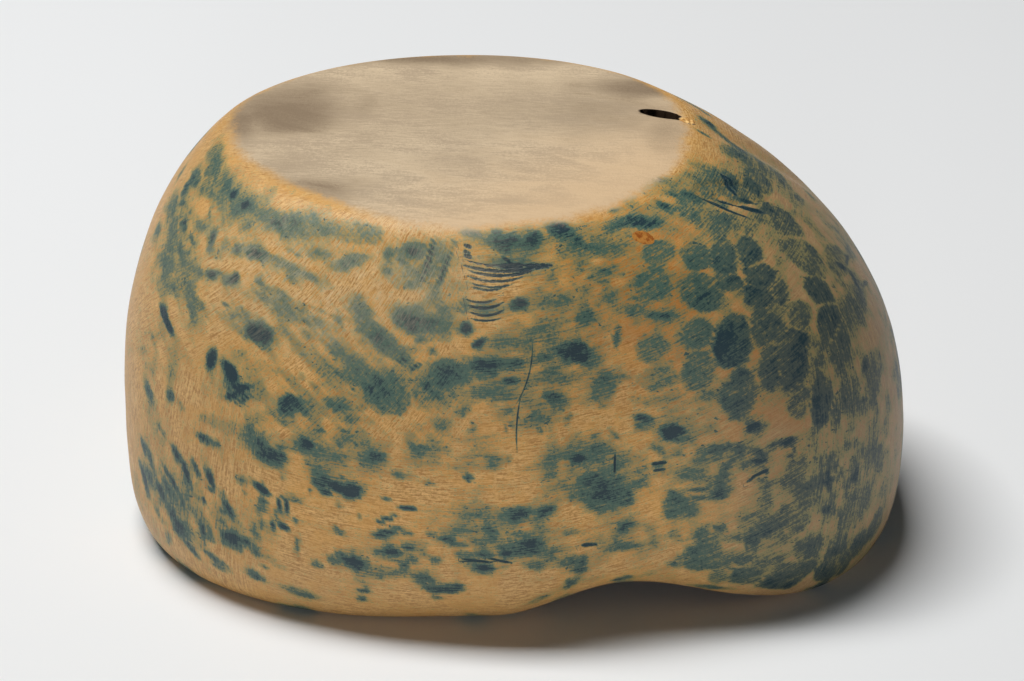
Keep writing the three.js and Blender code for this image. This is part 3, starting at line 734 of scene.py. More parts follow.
# A field of dabs is its centre and half-sizes in photo pixels, how many, their half-lengths from and to,
# their half-width, their turn and how far it varies in degrees, and their strength.
DABS = [
    (168, 475, 26, 50, 14, 3, 8, 2.0, -60, 20, .7),
    (225, 545, 60, 30, 16, 4, 9, 2.0, -14, 12, .7),
    (270, 520, 80, 45, 14, 3, 7, 2.0, 86, 12, .75),
    (380, 575, 90, 26, 12, 5, 11, 2.0, 2, 12, .8),
    (480, 540, 80, 36, 14, 5, 12, 2.2, 5, 14, .85),
    (560, 560, 50, 22, 12, 4, 10, 2.4, 8, 14, .8),
    (835, 480, 36, 75, 40, 4, 11, 2.6, 84, 12, .7),
    (720, 470, 70, 40, 24, 4, 9, 2.8, 10, 25, .85),
    (690, 540, 60, 30, 14, 4, 9, 2.4, 10, 20, .7),
    (540, 420, 90, 50, 22, 3, 8, 2.2, 60, 30, .6),
    (190, 230, 26, 60, 16, 3, 8, 3.0, -62, 18, .9),
    (600, 285, 60, 50, 18, 4, 9, 2.2, 5, 18, .7),
    (440, 300, 60, 50, 16, 3, 8, 2.2, 48, 20, .7),
    (330, 430, 80, 50, 16, 3, 7, 2.2, -30, 25, .8),
    (280, 290, 60, 50, 12, 4, 9, 2.4, -36, 14, .7),
    (690, 200, 70, 22, 12, 4, 10, 1.8, -6, 14, .7),
    (330, 500, 60, 40, 12, 3, 8, 2.2, 10, 30, .7),
]

# An unseen point counts as this far off in squared pixels. A spot on a wall that leans away is shrunk to
# this share at most. An oval's halo reaches so many half-lengths, and so many pixels more.
UNSEEN, LEAST_LEAN, OVAL_REACH, OVAL_MORE = 1e6, 0.6, 1.9, 14.0
# How far outlines wander and how unevenly ink pools, as layers of noise: strength, size in millimetres and
# seed
WOBBLE = (0.42, 6.5, 21), (0.22, 2.8, 22)
POOLS = (0.22, 5.0, 23), (0.12, 1.8, 24)
# A dab lies this share of its field's half-size from the centre, and its half-width varies between two
# shares
DAB_SCATTER, DAB_WIDTHS = 0.55, (0.9, 1.9)
# A stroke's width is drawn this much wider, because the shader eats at its edges. Strokes are kept in so
# many layers, with this clear space in millimetres round each. Straight ones from this width on become
# blots.
STROKE_SPREAD, STROKE_LAYERS, STROKE_GUARD = 1.45, 3, 1.9
FLECK_FROM, FLECK_WIDTH, FLECK_STRONGER = 3.0, 0.62, 0.3
# What a point reads where no stroke is near: far across, far along, and no strength
NO_STROKE = (9.0, 9.0, 0.0)
# Spots along a path lie this share of its half-width apart
PATH_STEP = 0.7
# The side that the photograph doesn't show, whose pixels are this wide in millimetres: how many blots and
# small ones it has, the ranges of their half-sizes, the share that stands upright, their turns and their
# strengths
BEHIND_PIXEL = 0.3
BEHIND_BLOTS, BEHIND_SIZES, BEHIND_LONG, BEHIND_WIDE = 260, (5, 20), 1.25, (0.5, 0.95)
BEHIND_UPRIGHT, BEHIND_SPREAD, BEHIND_STRENGTHS = 0.6, 16, (0.6, 1.15)
SMALL_BLOTS, SMALL_RANGES = 70, ((4, 11), (2.0, 4.0), (40, 130), (1.1, 1.6))
BEHIND_BELOW = 8.0
# A blot is stronger in its core and falls off to its edge; the edge's softness is a width over its
# half-width, within two limits; its halo is thin ink that reaches further round large blots
CORE, CORE_FALL, CORE_FROM = 0.12, 0.3, 0.2
SOFT, SOFT_LIMITS, SOFT_OUTSIDE = 2.6, (0.12, 0.5), 1.4
HALO, HALO_FROM, HALO_TO, HALO_REACH, HALO_FULL, HALO_LEAST = 0.42, 0.9, 1.2, 3.4, 8.0, 0.25
# A cell is drawn larger and stronger than listed; veins keep some ink, and their width is a share of a cell
CELL_LARGER, CELL_ROUGH, CELL_STRONGER, CELL_EDGE = 1.12, 0.55, 1.1, (0.9, 1.25)
VEIN_INK, VEIN_WIDTH = 0.3, 0.22
# Thin ink: where ovals fade, how strong it is behind, at least and at most, its clouds, and bands' edges
WASH_EDGE, WASH_BEHIND, LEAST_WASH, MOST_WASH = (0.35, 1.25), 0.42, 0.1, 0.9
WASH_MEAN, WASH_PEAK, WASH_CLOUDS = 0.62, 1.3, ((0.45, 11.0, 51), (0.5, 3.4, 52))
BAND_EDGE, BAND_ROUGH = (0.55, 1.5), 1.2
WIPE_EDGE, WIPE_MEAN, WIPE_PEAK, WIPE_CLOUDS = (0.3, 1.8), 0.85, 1.2, ((0.5, 5.0, 55), (0.3, 1.8, 56))
# Where the wood is greyer, in photo pixels, and near the rim, in millimetres, with the shares there
GREY_RIGHT, GREY_LEFT, GREY_LOW = (640, 800), (-330, -180), (-48.0, -6.0)
GREY_LEFT_SHARE, GREY_LOW_SHARE, GREY_BEHIND = 0.35, 0.5, 0.5
# Amber wood: ovals in photo pixels with the share of the way in at which each is full, and their strengths
AMBER_CELLS, AMBER_LOW = (660, 300, 130, 130, 0.8), (770, 400, 90, 150, 0.8)
AMBER_POCKET = (732, 187, 40, 18, 0.6)
AMBER_SHARES, AMBER_MEAN, AMBER_CLOUDS = (0.85, 0.5, 0.8), 0.55, (0.45, 7.0, 31)
# How ragged the base's stains and the painted shade along its back edge are, and how far they fade
STAIN_AND_SHADE_ROUGH, STAIN_AND_SHADE_EDGE = (0.35, 9.0, 35), 1.7
# Painted sheen, a pale wax tone where the light's reflection falls on the upper front wall: its oval in photo
# pixels, where it fades, its patches, and how far the wax reaches onto the base
SHEEN_OVAL, SHEEN_EDGE, SHEEN_MEAN, SHEEN_PEAK = (345, 275, 200, 100), (0.2, 1.2), 0.75, 1.2
SHEEN_PATCHES = (0.3, 9.0, 81), (0.25, 3.0, 82)
WAX_REACH, WAX_SPAN = 7.0, (-140, 48)
BARE_EDGE, BARE_WANDERS = (-5.0, 6.0), ((1.5, 7.0, 61), (0.8, 2.5, 62))
# Where the fibres turn, in photo pixels, and by how many millimetres round the back's middle they fade
SLANTED_X, SLANTED_Y = (-500, -430), (-470, -420)
UPRIGHT_X, UPRIGHT_Y, UPRIGHT_RIGHT = (-300, -220), (330, 400), (790, 830)
BACK_SEAM = (1.0, 5.0)


def photo_axes():
    """The camera's right, up and backward directions, from its elevation"""
    sine, cosine = np.sin(np.radians(CAMERA_ELEVATION)), np.cos(np.radians(CAMERA_ELEVATION))
    return np.array([1.0, 0, 0]), np.array([0, sine, cosine]), np.array([0, -cosine, sine])


def photo_places(points):
    """Where the camera of the photograph sees each point, in its pixels, and how far off the point is: its
    offset along the camera's right and up, over its distance, times the lens's length in pixels"""
    right, up, back = photo_axes()
    offset = points - CAMERA_AT
    distance = -(offset @ back)
    pixels = LENS / SENSOR * PHOTO_WIDTH / distance
    return PHOTO_WIDTH / 2 + offset @ right * pixels, PHOTO_HEIGHT / 2 - offset @ up * pixels, distance


class Canvas:
    """A surface's points and normals, and where the camera of the photograph sees them. A point is seen
    where its normal's dot product with the way to the camera is above 0. A spot on it is a point, its
    normal, the directions that count as right and up there, and a pixel's size in millimetres."""

    def __init__(self, points, normals):
        self.points, self.normals = points, normals
        self.x, self.y, self.distance = photo_places(points)
        self.seen = ((CAMERA_AT - points) * normals).sum(axis=-1) > 0
        self.wobble = noises(points, *WOBBLE)
        self.pools = 1.0 + noises(points, *POOLS)

    def at_pixel(self, x, y):
        """The spot that the photograph shows at a pixel: the seen point nearest to it"""
        index = np.argmin((self.x - x) ** 2 + (self.y - y) ** 2 + np.where(self.seen, 0.0, UNSEEN))
        unit = self.distance[index] * SENSOR / LENS / PHOTO_WIDTH
        return self.points[index], self.normals[index], *photo_axes()[:2], unit

    def at_index(self, index, unit):
        """The spot at a point, with the directions round and up the wall"""
        return self.points[index], self.normals[index], *tangents(self.normals[index]), unit

    def patch(self, spot, reach, degrees):
        """The points within reach of a spot, and their turned coordinates in its tangent plane, in pixels:
        dot products of their offset with its two axes, shrunk as the camera sees them and turned by the
        degrees"""
        centre, normal, right, up, unit = spot
        along = right - normal * (right @ normal)
        lean = np.linalg.norm(along)
        along /= lean
        rising = np.cross(normal, along)
        offset = self.points - centre
        near = np.flatnonzero((offset ** 2).sum(axis=-1) < (reach * unit) ** 2)
        x = offset[near] @ along * max(lean, LEAST_LEAN) / unit
        y = offset[near] @ rising * max(abs(rising @ up), LEAST_LEAN) / unit
        turn = np.radians(degrees)
        return near, x * np.cos(turn) + y * np.sin(turn), y * np.cos(turn) - x * np.sin(turn)

    def oval(self, spot, long, wide, degrees, rough):
        """The points near an oval and how far out of it they are, in half-sizes: 1 on an outline that
        wanders"""
        near, x, y = self.patch(spot, OVAL_REACH * max(long, wide) + OVAL_MORE, degrees)
        return near, np.hypot(x / long, y / wide) * (1.0 + rough * self.wobble[near])


def tangents(normal):
    """Unit vectors round and up the wall at a normal: its cross product with straight up, and square to
    both"""
    along = np.cross([0.0, 0.0, 1.0], normal)
    along /= np.linalg.norm(along)
    return along, np.cross(normal, along)


def spots_along(body, half, places):
    """The spots of a body along a path of photo pixels, a share of its half-width apart"""
    places = np.array(places, float)
    length = np.concatenate([[0.0], np.cumsum(np.hypot(*np.diff(places, axis=0).T))])
    for at in np.arange(0.0, length[-1] + 0.1, PATH_STEP * half):
        yield body.at_pixel(np.interp(at, length, places[:, 0]), np.interp(at, length, places[:, 1]))


def plan_dye(body):
    """Every mark as a spot of the body and its sizes: by the photograph in front, and scattered alike
    behind"""
    blots = [(body.at_pixel(x, y), *sizes) for x, y, *sizes in BLOTS]
    draw = np.random.default_rng(41)
    for x, y, half_x, half_y, count, short, long, wide, degrees, spread, strength in DABS:
        for _ in range(count):
            at_x = x + draw.normal(0, DAB_SCATTER) * half_x
            spot = body.at_pixel(at_x, y + draw.normal(0, DAB_SCATTER) * half_y)
            long_half, wide_half = draw.uniform(short, long), wide * draw.uniform(*DAB_WIDTHS)
            blots.append((spot, long_half, wide_half, draw.normal(degrees, spread), strength))
    cells = [(body.at_pixel(x, y), *sizes) for x, y, *sizes in CELLS]
    bands, wipes = [[(spot, half, strength) for half, strength, *places in paths
                     for spot in spots_along(body, half, places)] for paths in (BANDS, WIPES)]
    strokes = []
    for x0, y0, x1, y1, width, strength, *sag in STROKES:
        degrees = np.degrees(np.arctan2(y0 - y1, x1 - x0))
        long = np.hypot(x1 - x0, y1 - y0) / 2 + width / 2
        spot = body.at_pixel((x0 + x1) / 2, (y0 + y1) / 2)
        if width >= FLECK_FROM and not sag:
            blots.append((spot, long, width * FLECK_WIDTH, degrees, strength + FLECK_STRONGER))
        else:
            half = width * STROKE_SPREAD / 2
            strokes.append((spot, long, half, degrees, strength, sag[0] if sag else 0.0))
    unseen = np.flatnonzero(~body.seen & (body.points[:, 2] < HEIGHT - BEHIND_BELOW))
    for _ in range(BEHIND_BLOTS):
        tall = 90 if draw.random() < BEHIND_UPRIGHT else 0
        size = draw.uniform(*BEHIND_SIZES)
        spot = body.at_index(draw.choice(unseen), BEHIND_PIXEL)
        blots.append((spot, size * BEHIND_LONG, size * draw.uniform(*BEHIND_WIDE),
                      tall + draw.normal(0, BEHIND_SPREAD), draw.uniform(*BEHIND_STRENGTHS)))
    for _ in range(SMALL_BLOTS):
        spot = body.at_index(draw.choice(unseen), BEHIND_PIXEL)
        blots.append((spot, *[draw.uniform(*pair) for pair in SMALL_RANGES]))
    return blots, cells, bands, strokes, wipes


def lay_blots(ink, canvas, blots):
    """Adds soft ovals with thin halos, keeping the stronger of what is there and the new oval. An oval is
    its strength, more in the core and less towards the edge, times a smooth S down across the edge and the
    pools."""
    for spot, long, wide, degrees, strength in blots:
        near, away = canvas.oval(spot, long, wide, degrees, 1.0)
        half = min(long, wide)
        soft = np.clip(SOFT / half, *SOFT_LIMITS)
        edge = 1.0 - ramp(away, 1.0 - soft, 1.0 + soft * SOFT_OUTSIDE)
        value = (strength + CORE - CORE_FALL * ramp(away, CORE_FROM, 1.0)) * edge
        value = (value + CORE * (away < 1.0)) * canvas.pools[near]
        reach = HALO_REACH * np.clip(half / HALO_FULL, HALO_LEAST, 1.0)
        halo = HALO * min(strength, 1.0) * (1.0 - ramp(away, HALO_FROM, HALO_TO + soft * reach))
        ink[near] = np.maximum(ink[near], np.maximum(value, halo))


def lay_cells(ink, canvas, cells):
    """Adds cells: each point takes ink from its nearest cell, less where the second nearest is as near"""
    first, second, best = np.full(len(ink), 9.0), np.full(len(ink), 9.0), np.zeros(len(ink))
    for spot, long, wide, degrees, strength in cells:
        near, away = canvas.oval(spot, long * CELL_LARGER, wide * CELL_LARGER, degrees, CELL_ROUGH)
        closer = away < first[near]
        second[near] = np.where(closer, first[near], np.minimum(second[near], away))
        best[near] = np.where(closer, strength, best[near])
        first[near] = np.minimum(first[near], away)
    value = CELL_STRONGER * best * canvas.pools * (1.0 - ramp(first, *CELL_EDGE))
    value = value * lerp(VEIN_INK, 1.0, ramp(second - first, 0.0, VEIN_WIDTH))
    np.maximum(ink, value, out=ink)


def lay_strokes(canvas, strokes):
    """Each stroke's own coordinates at the points round it, across and along in half-sizes, and its
    strength. Its middle line is a parabola that sags between its ends, so across is measured from that.
    Strokes that come close to one another are kept in different layers, so that none blends into the
    next."""
    layers = np.tile(np.array(NO_STROKE), (STROKE_LAYERS, len(canvas.points), 1))
    for spot, long, wide, degrees, strength, sag in strokes:
        guard = STROKE_GUARD / spot[4]
        near, x, y = canvas.patch(spot, long + abs(sag) + 2 * guard, degrees)
        y = y + sag * (1.0 - (x / long) ** 2)
        gap = np.hypot(np.maximum(np.abs(x) - long, 0.0), np.maximum(np.abs(y) - wide, 0.0))
        near, x, y = near[gap < guard], x[gap < guard], y[gap < guard]
        taken = [int((layers[layer, near, 2] > 0).sum()) for layer in range(STROKE_LAYERS)]
        layer = int(np.argmin(taken))
        layers[layer, near] = np.stack([y / wide, x / long, np.full(len(near), strength)], axis=-1)
    return layers


def thin_wash(canvas, bands):
    """Ink wiped thin over wide areas: soft ovals in front, and evenly behind, broken into clouds by noise,
    and bands over them"""
    area = np.zeros(len(canvas.points))
    for x, y, across, along, strength in WASHES:
        away = np.hypot((canvas.x - x) / across, (canvas.y - y) / along)
        area = np.maximum(area, strength * (1.0 - ramp(away, *WASH_EDGE)))
    area = np.maximum(np.where(canvas.seen, area, WASH_BEHIND), LEAST_WASH)
    wash = area * np.clip(WASH_MEAN + noises(canvas.points, *WASH_CLOUDS), 0.0, WASH_PEAK)
    for spot, half, strength in bands:
        near, away = canvas.oval(spot, half, half, 0, BAND_ROUGH)
        wash[near] = np.maximum(wash[near], strength * (1.0 - ramp(away, *BAND_EDGE)))
    return np.clip(wash, 0.0, MOST_WASH)


def rubbed_off(canvas, wipes):
    """The share of the ink that is gone: a wipe's strength on its middle line, fading across its outline,
    and broken into patches by noise"""
    gone = np.zeros(len(canvas.points))
    for spot, half, strength in wipes:
        near, away = canvas.oval(spot, half, half, 0, 1.0)
        gone[near] = np.maximum(gone[near], strength * (1.0 - ramp(away, *WIPE_EDGE)))
    return gone * np.clip(WIPE_MEAN + noises(canvas.points, *WIPE_CLOUDS), 0.0, WIPE_PEAK)


def within(canvas, x, y, half_x, half_y, full):
    """How far inside an oval of photo pixels each point is seen: 0 on its outline and 1 from a share of the
    way in"""
    return ramp(1.0 - np.hypot((canvas.x - x) / half_x, (canvas.y - y) / half_y), 0.0, full)


def wood_tones(canvas):
    """Greyer wood and ink to the right and near the rim, amber wood between the cells, and the base's
    stains with the painted shade along its back edge"""
    x, y, points = canvas.x, canvas.y, canvas.points
    grey = ramp(x, *GREY_RIGHT) + GREY_LEFT_SHARE * ramp(-x, *GREY_LEFT)
    grey = np.where(canvas.seen, grey, GREY_BEHIND)
    grey = np.maximum(grey, GREY_LOW_SHARE * ramp(-points[:, 2], *GREY_LOW))
    amber = AMBER_SHARES[0] * within(canvas, *AMBER_CELLS) + AMBER_SHARES[1] * within(canvas, *AMBER_LOW)
    amber = np.maximum(amber, AMBER_SHARES[2] * within(canvas, *AMBER_POCKET))
    amber = amber * canvas.seen * (AMBER_MEAN + noises(points, AMBER_CLOUDS))
    stains_and_shade = 0.0 * x
    for at_x, at_y, half_x, half_y, depth in STAINS_AND_SHADE:
        away = np.hypot((x - at_x) / half_x, (y - at_y) / half_y) * (1 + noises(points, STAIN_AND_SHADE_ROUGH))
        stains_and_shade = np.maximum(stains_and_shade, depth * (1.0 - ramp(away, 0.0, STAIN_AND_SHADE_EDGE)))
    return np.stack([np.clip(grey, 0, 1), np.clip(amber, 0, 1), stains_and_shade], axis=-1)


def painted_sheen(canvas):
    """Painted sheen, where the light's reflection falls: a wide soft oval of pale wax tone on the upper front
    wall, broken into patches by noise"""
    x, y, half_x, half_y = SHEEN_OVAL
    away = np.hypot((canvas.x - x) / half_x, (canvas.y - y) / half_y)
    patches = np.clip(SHEEN_MEAN + noises(canvas.points, *SHEEN_PATCHES), 0.0, SHEEN_PEAK)
    return canvas.seen * (1.0 - ramp(away, *SHEEN_EDGE)) * patches


def fibre_shares(canvas, behind):
    """How far the fibres run level, slanted or upright: slanted at the upper left, upright at the lower
    left and at the right, level elsewhere and at the back. The three add up to 1, and fade to nothing on
    the bare base and along the back's middle, where the surface coordinates jump."""
    slanted = ramp(-canvas.x, *SLANTED_X) * ramp(-canvas.y, *SLANTED_Y)
    upright = ramp(-canvas.x, *UPRIGHT_X) * ramp(canvas.y, *UPRIGHT_Y)
    upright = np.maximum(upright, ramp(canvas.x, *UPRIGHT_RIGHT))
    level, slanted = np.clip(1.0 - slanted - upright, 0, 1), np.clip(slanted - upright, 0, 1)
    comb = np.stack([level, slanted, upright], axis=-1)
    comb /= comb.sum(axis=-1, keepdims=True)
    comb = lerp(comb, np.array([1.0, 0.0, 0.0]), behind[..., None])
    seam = ramp(np.abs(canvas.points[:, 0]), *BACK_SEAM) + (canvas.points[:, 1] < 0)
    plain = (1.0 - bare_share(canvas.points)) * np.minimum(seam, 1.0)
    return comb * plain[:, None]


def bare_share(points):
    """1 on the raw base and 0 on the wall, by how far inside the base's edge a point is, along an edge that
    wanders; the wax reaches onto the base at its front left"""
    x, y = points[:, 0] - BASE_CENTRE[0], points[:, 1] - BASE_CENTRE[1]
    angle = np.arctan2(y, x)
    inside = oval(angle, BASE_REACH, BASE_POWER) - np.hypot(x, y)
    inside = inside - WAX_REACH * swell(angle, *WAX_SPAN) + noises(points, *BARE_WANDERS)
    return ramp(inside, *BARE_EDGE) * (points[:, 2] > HEIGHT / 2)


def dye_attributes(canvas, plan, lay, behind):
    """All that the wood's material reads, at each point of a canvas"""
    blots, cells, bands, strokes, wipes = plan
    ink = np.zeros(len(canvas.points))
    lay_blots(ink, canvas, blots)
    lay_cells(ink, canvas, cells)
    ink = ink + np.maximum(1.0 - ink, 0.0) * thin_wash(canvas, bands)
    ink = ink * (1.0 - rubbed_off(canvas, wipes))
    # The wax attribute is the painted sheen on the upper front wall
    values = {"ink": ink, "tone": wood_tones(canvas), "lay": lay, "comb": fibre_shares(canvas, behind),
              "bare": bare_share(canvas.points), "wax": painted_sheen(canvas)}
    for layer, coordinates in enumerate(lay_strokes(canvas, strokes)):
        values["stroke_%d" % layer] = coordinates
    return values


# Materials

def linear(colour):
    """A hex colour in sRGB as linear red, green, blue and alpha"""
    parts = [int(colour[start:start + 2], 16) / 255 for start in (1, 3, 5)]
    return (*[part / 12.92 if part <= 0.04045 else ((part + 0.055) / 1.055) ** 2.4 for part in parts], 1.0)


def add(tree, kind, links=None, out=None, **settings):
    """Adds a node, sets it, feeds its sockets with values or other nodes' outputs, and gives its output of
    a name, or else the first that is in use"""
    node = tree.nodes.new("ShaderNode" + kind)
    for name, value in settings.items():
        setattr(node, name, value)
    for socket, value in (links or {}).items():
        if isinstance(value, bpy.types.NodeSocket):
            tree.links.new(value, node.inputs[socket])
        else:
            node.inputs[socket].default_value = value
    if out:
        return node.outputs[out]
    return next((socket for socket in node.outputs if socket.enabled), None)


def new_material(name):
    """An empty material, its node tree and a shorthand that adds nodes to it"""
    material = bpy.data.materials.new(name)
    material.use_nodes = True
    material.node_tree.nodes.clear()
    return material, partial(add, material.node_tree)


SMOOTH = {"interpolation_type": "SMOOTHSTEP"}
# The fibres' three directions: the part of the comb, the fibres' heading in degrees, their length and width
# in millimetres, and the heading of the smears of ink, which cross the sanding lines on the slanted part
FIBRES = [("X", 2, 6.0, 0.5, 3), ("Y", 48, 5.0, 0.45, -38), ("Z", 82, 7.0, 0.55, 86)]
SMEAR_SIZE = (24.0, 3.2, 3.2)
# From and up to which amount of ink it looks thin, full and navy, and how far each covers what is under it
INK_STEPS = [(0.24, 0.58, 0.66), (0.54, 0.94, 0.92), (1.02, 1.45, 1.0)]
# How far handling greyed the wood where it is greyest
HANDLED = 0.6
# How strongly fibres, specks, clouds and smears break up the ink
INK_FIBRE, INK_SPECK, INK_CLOUD, INK_SMEAR = 1.9, 1.5, 0.5, 0.9
# The slot's painted shade reaches out to this share of its outline, and down to this far under its blind end
SLOT_DARK, SLOT_UNDER = 1.12, 1.5


def fibres_and_smears(node, lay, comb):
    """Fine noise drawn out along the fibres and sanding lines, 0.3 to 0.6 mm apart, and broad noise drawn
    out along smears 3 mm wide. Each is the sum over three directions of the comb's part times the noise
    there, plus half of what the parts lack of 1."""
    plain = node("VectorMath", {0: comb, 1: (1.0, 1.0, 1.0)}, out="Value", operation="DOT_PRODUCT")
    fibre = smear = node("Math", {0: plain, 1: -0.5, 2: 0.5}, operation="MULTIPLY_ADD")
    for part, heading, long, wide, smeared in FIBRES:
        share = node("SeparateXYZ", {0: comb}, out=part)
        turned = node("Mapping", {"Vector": lay, "Rotation": (0, 0, np.radians(heading)),
                                  "Scale": (long, wide, wide)}, vector_type="TEXTURE")
        lines = node("TexNoise", {"Vector": turned, "Scale": 1.0, "Detail": 4.0, "Roughness": 0.7})
        fibre = node("Math", {0: lines, 1: share, 2: fibre}, operation="MULTIPLY_ADD")
        turned = node("Mapping", {"Vector": lay, "Rotation": (0, 0, np.radians(smeared)),
                                  "Scale": SMEAR_SIZE}, vector_type="TEXTURE")
        lines = node("TexNoise", {"Vector": turned, "Scale": 1.0, "Detail": 4.0, "Roughness": 0.6,
                                  "Distortion": 0.5})
        smear = node("Math", {0: lines, 1: share, 2: smear}, operation="MULTIPLY_ADD")
    return fibre, smear


def blots_of_ink(node, here, ink, fibre, smear, speck, cloud):
    """How much ink the blots left: what was laid there plus the weighted noises less their middle, so that
    edges feather along the fibres. Crumbs of ink about 2 mm long caught in the pores, wherever some was
    laid."""
    crumb = node("Mapping", {"Vector": here, "Scale": (1.8, 1.8, 1.1)}, vector_type="TEXTURE")
    crumb = node("TexNoise", {"Vector": crumb, "Scale": 1.0, "Detail": 2.0, "Roughness": 0.5})
    weighted = (fibre, INK_FIBRE), (speck, INK_SPECK), (cloud, INK_CLOUD), (smear, INK_SMEAR)
    amount = -sum(weight for _, weight in weighted) / 2
    for field, weight in weighted:
        amount = node("Math", {0: field, 1: weight, 2: amount}, operation="MULTIPLY_ADD")
    amount = node("Math", {0: amount, 1: ink}, operation="ADD")
    crumbs = node("MapRange", {"Value": crumb, "From Min": 0.62, "From Max": 0.7, "To Max": 1.25})
    inked = node("MapRange", {"Value": ink, "From Min": 0.15, "From Max": 0.6})
    crumbs = node("Math", {0: crumbs, 1: inked}, operation="MULTIPLY")
    return node("Math", {0: amount, 1: crumbs}, operation="MAXIMUM")


def strokes_of_ink(node, fibre, speck):
    """How much ink the strokes left. The square across plus the fourth power along, in half-sizes, is 1 on
    an outline, and the noise of fibres and specks added to it makes that ragged. The strongest layer
    counts."""
    line = 0.0
    for layer in range(STROKE_LAYERS):
        mark = node("Attribute", out="Vector", attribute_name="stroke_%d" % layer)
        along = node("SeparateXYZ", {0: mark}, out="Y")
        along = node("Math", {0: along, 1: 4.0}, operation="POWER")
        across = node("SeparateXYZ", {0: mark}, out="X")
        away = node("Math", {0: across, 1: across, 2: along}, operation="MULTIPLY_ADD")
        away = node("Math", {0: fibre, 1: 4.0, 2: away}, operation="MULTIPLY_ADD")
        away = node("Math", {0: speck, 1: 5.0, 2: away}, operation="MULTIPLY_ADD")
        touch = node("MapRange", {"Value": away, "From Min": 6.3, "From Max": 4.4}, **SMOOTH)
        strength = node("SeparateXYZ", {0: mark}, out="Z")
        touch = node("Math", {0: touch, 1: strength}, operation="MULTIPLY")
        line = node("Math", {0: touch, 1: line}, operation="MAXIMUM")
    return line


def waxed_colour(node, colours, amount, fibre, speck, cloud, grey, amber):
    """Golden wood with rosy clouds and greyed and amber parts, under thin ink, then full ink, then navy
    where it is deepest. Painted sheen on the upper front wall: wax in the sanding lines drawn paler than
    what it covers."""
    thin, full, deep = [node("MapRange", {"Value": amount, "From Min": low, "From Max": high, "To Max": most},
                             **SMOOTH) for low, high, most in INK_STEPS]
    grain = node("Math", {0: speck, 1: 0.6, 2: fibre}, operation="MULTIPLY_ADD")
    grain = node("MapRange", {"Value": grain, "From Min": 0.62, "From Max": 1.0}, **SMOOTH)
    wood = node("Mix", {0: grain, 6: colours["ochre_dark"], 7: colours["ochre_light"]}, data_type="RGBA")
    rosy = node("MapRange", {"Value": cloud, "From Min": 0.4, "From Max": 0.65, "To Max": 0.5}, **SMOOTH)
    handled = node("Math", {0: grey, 1: HANDLED}, operation="MULTIPLY")
    # Painted sheen: a pale wax tone where the light's reflection falls on the upper front wall
    sheen = node("Attribute", out="Fac", attribute_name="wax")
    pale = {"Value": fibre, "From Min": 0.42, "From Max": 0.6, "To Min": 0.08, "To Max": 0.55}
    sheen = node("Math", {0: sheen, 1: node("MapRange", pale)}, operation="MULTIPLY")
    thick = node("Mix", {0: grey, 6: colours["ink_green"], 7: colours["ink_grey"]}, data_type="RGBA")
    layers = [(rosy, colours["ochre_rose"]), (handled, colours["greyed"]), (amber, colours["amber"]),
              (thin, colours["ink_thin"]), (full, thick), (deep, colours["ink_navy"]),
              (sheen, colours["wax"])]
    for share, colour in layers:
        wood = node("Mix", {0: share, 6: wood, 7: colour}, data_type="RGBA")
    return wood


def raw_colour(node, colours, here, speck, stained_and_shaded):
    """Raw wood: soft clouds a few centimetres wide, warmer towards the front and the right, fine grain, and
    stains and painted shade along the back edge that the clouds and specks break up"""
    drawn = node("Mapping", {"Vector": here, "Rotation": (0, 0, np.radians(-12)),
                             "Scale": (26.0, 12.0, 12.0)}, vector_type="TEXTURE")
    broad = node("TexNoise", {"Vector": drawn, "Scale": 1.0, "Detail": 5.0, "Roughness": 0.6,
                              "Distortion": 0.6})
    drawn = node("Mapping", {"Vector": here, "Rotation": (0, 0, np.radians(-6)),
                             "Scale": (5.0, 0.6, 0.6)}, vector_type="TEXTURE")
    fine = node("TexNoise", {"Vector": drawn, "Scale": 1.0, "Detail": 3.0, "Roughness": 0.7})
    raw = node("Math", {0: fine, 1: 0.6, 2: broad}, operation="MULTIPLY_ADD")
    raw = node("Math", {0: speck, 1: 0.8, 2: raw}, operation="MULTIPLY_ADD")
    raw = node("MapRange", {"Value": raw, "From Min": 0.99, "From Max": 1.4}, **SMOOTH)
    raw = node("Mix", {0: raw, 6: colours["raw_grey"], 7: colours["raw_tan"]}, data_type="RGBA")
    warm = node("VectorMath", {0: here, 1: (0.010, -0.012, 0.0)}, out="Value", operation="DOT_PRODUCT")
    warm = node("Math", {0: broad, 1: 0.8, 2: warm}, operation="MULTIPLY_ADD")
    warm = node("MapRange", {"Value": warm, "From Min": 0.2, "From Max": 1.3, "To Max": 0.8}, **SMOOTH)
    raw = node("Mix", {0: warm, 6: raw, 7: colours["raw_peach"]}, data_type="RGBA")
    # Stains, with painted shade along the base's back edge, in the stain colour
    stain_and_shade = node("Math", {0: broad, 1: 1.5, 2: stained_and_shaded}, operation="MULTIPLY_ADD")
    stain_and_shade = node("Math", {0: speck, 1: 0.9, 2: stain_and_shade}, operation="MULTIPLY_ADD")
    stain_and_shade = node("MapRange", {"Value": stain_and_shade, "From Min": 1.2, "From Max": 2.5}, **SMOOTH)
    return node("Mix", {0: stain_and_shade, 6: raw, 7: colours["raw_stain"]}, data_type="RGBA")


def inside_slot(node, here):
    """Where the slot's shade is painted: 1 within its oval and above its blind end, and 0 elsewhere"""
    outline = {"Vector": here, "Location": tuple(slot_frame()[0]),
               "Rotation": (0, 0, np.radians(SLOT_HEADING)),
               "Scale": (SLOT_LENGTH / 2, SLOT_WIDTH / 2, 1e4)}
    inside = node("Mapping", outline, vector_type="TEXTURE")
    inside = node("VectorMath", {0: inside}, out="Value", operation="LENGTH")
    inside = node("MapRange", {"Value": inside, "From Min": SLOT_DARK, "From Max": 1.0})
    above = node("SeparateXYZ", {0: here}, out="Z")
    above = node("Math", {0: above, 1: HEIGHT - SLOT_DEPTH - SLOT_UNDER}, operation="GREATER_THAN")
    return node("Math", {0: inside, 1: above}, operation="MULTIPLY")


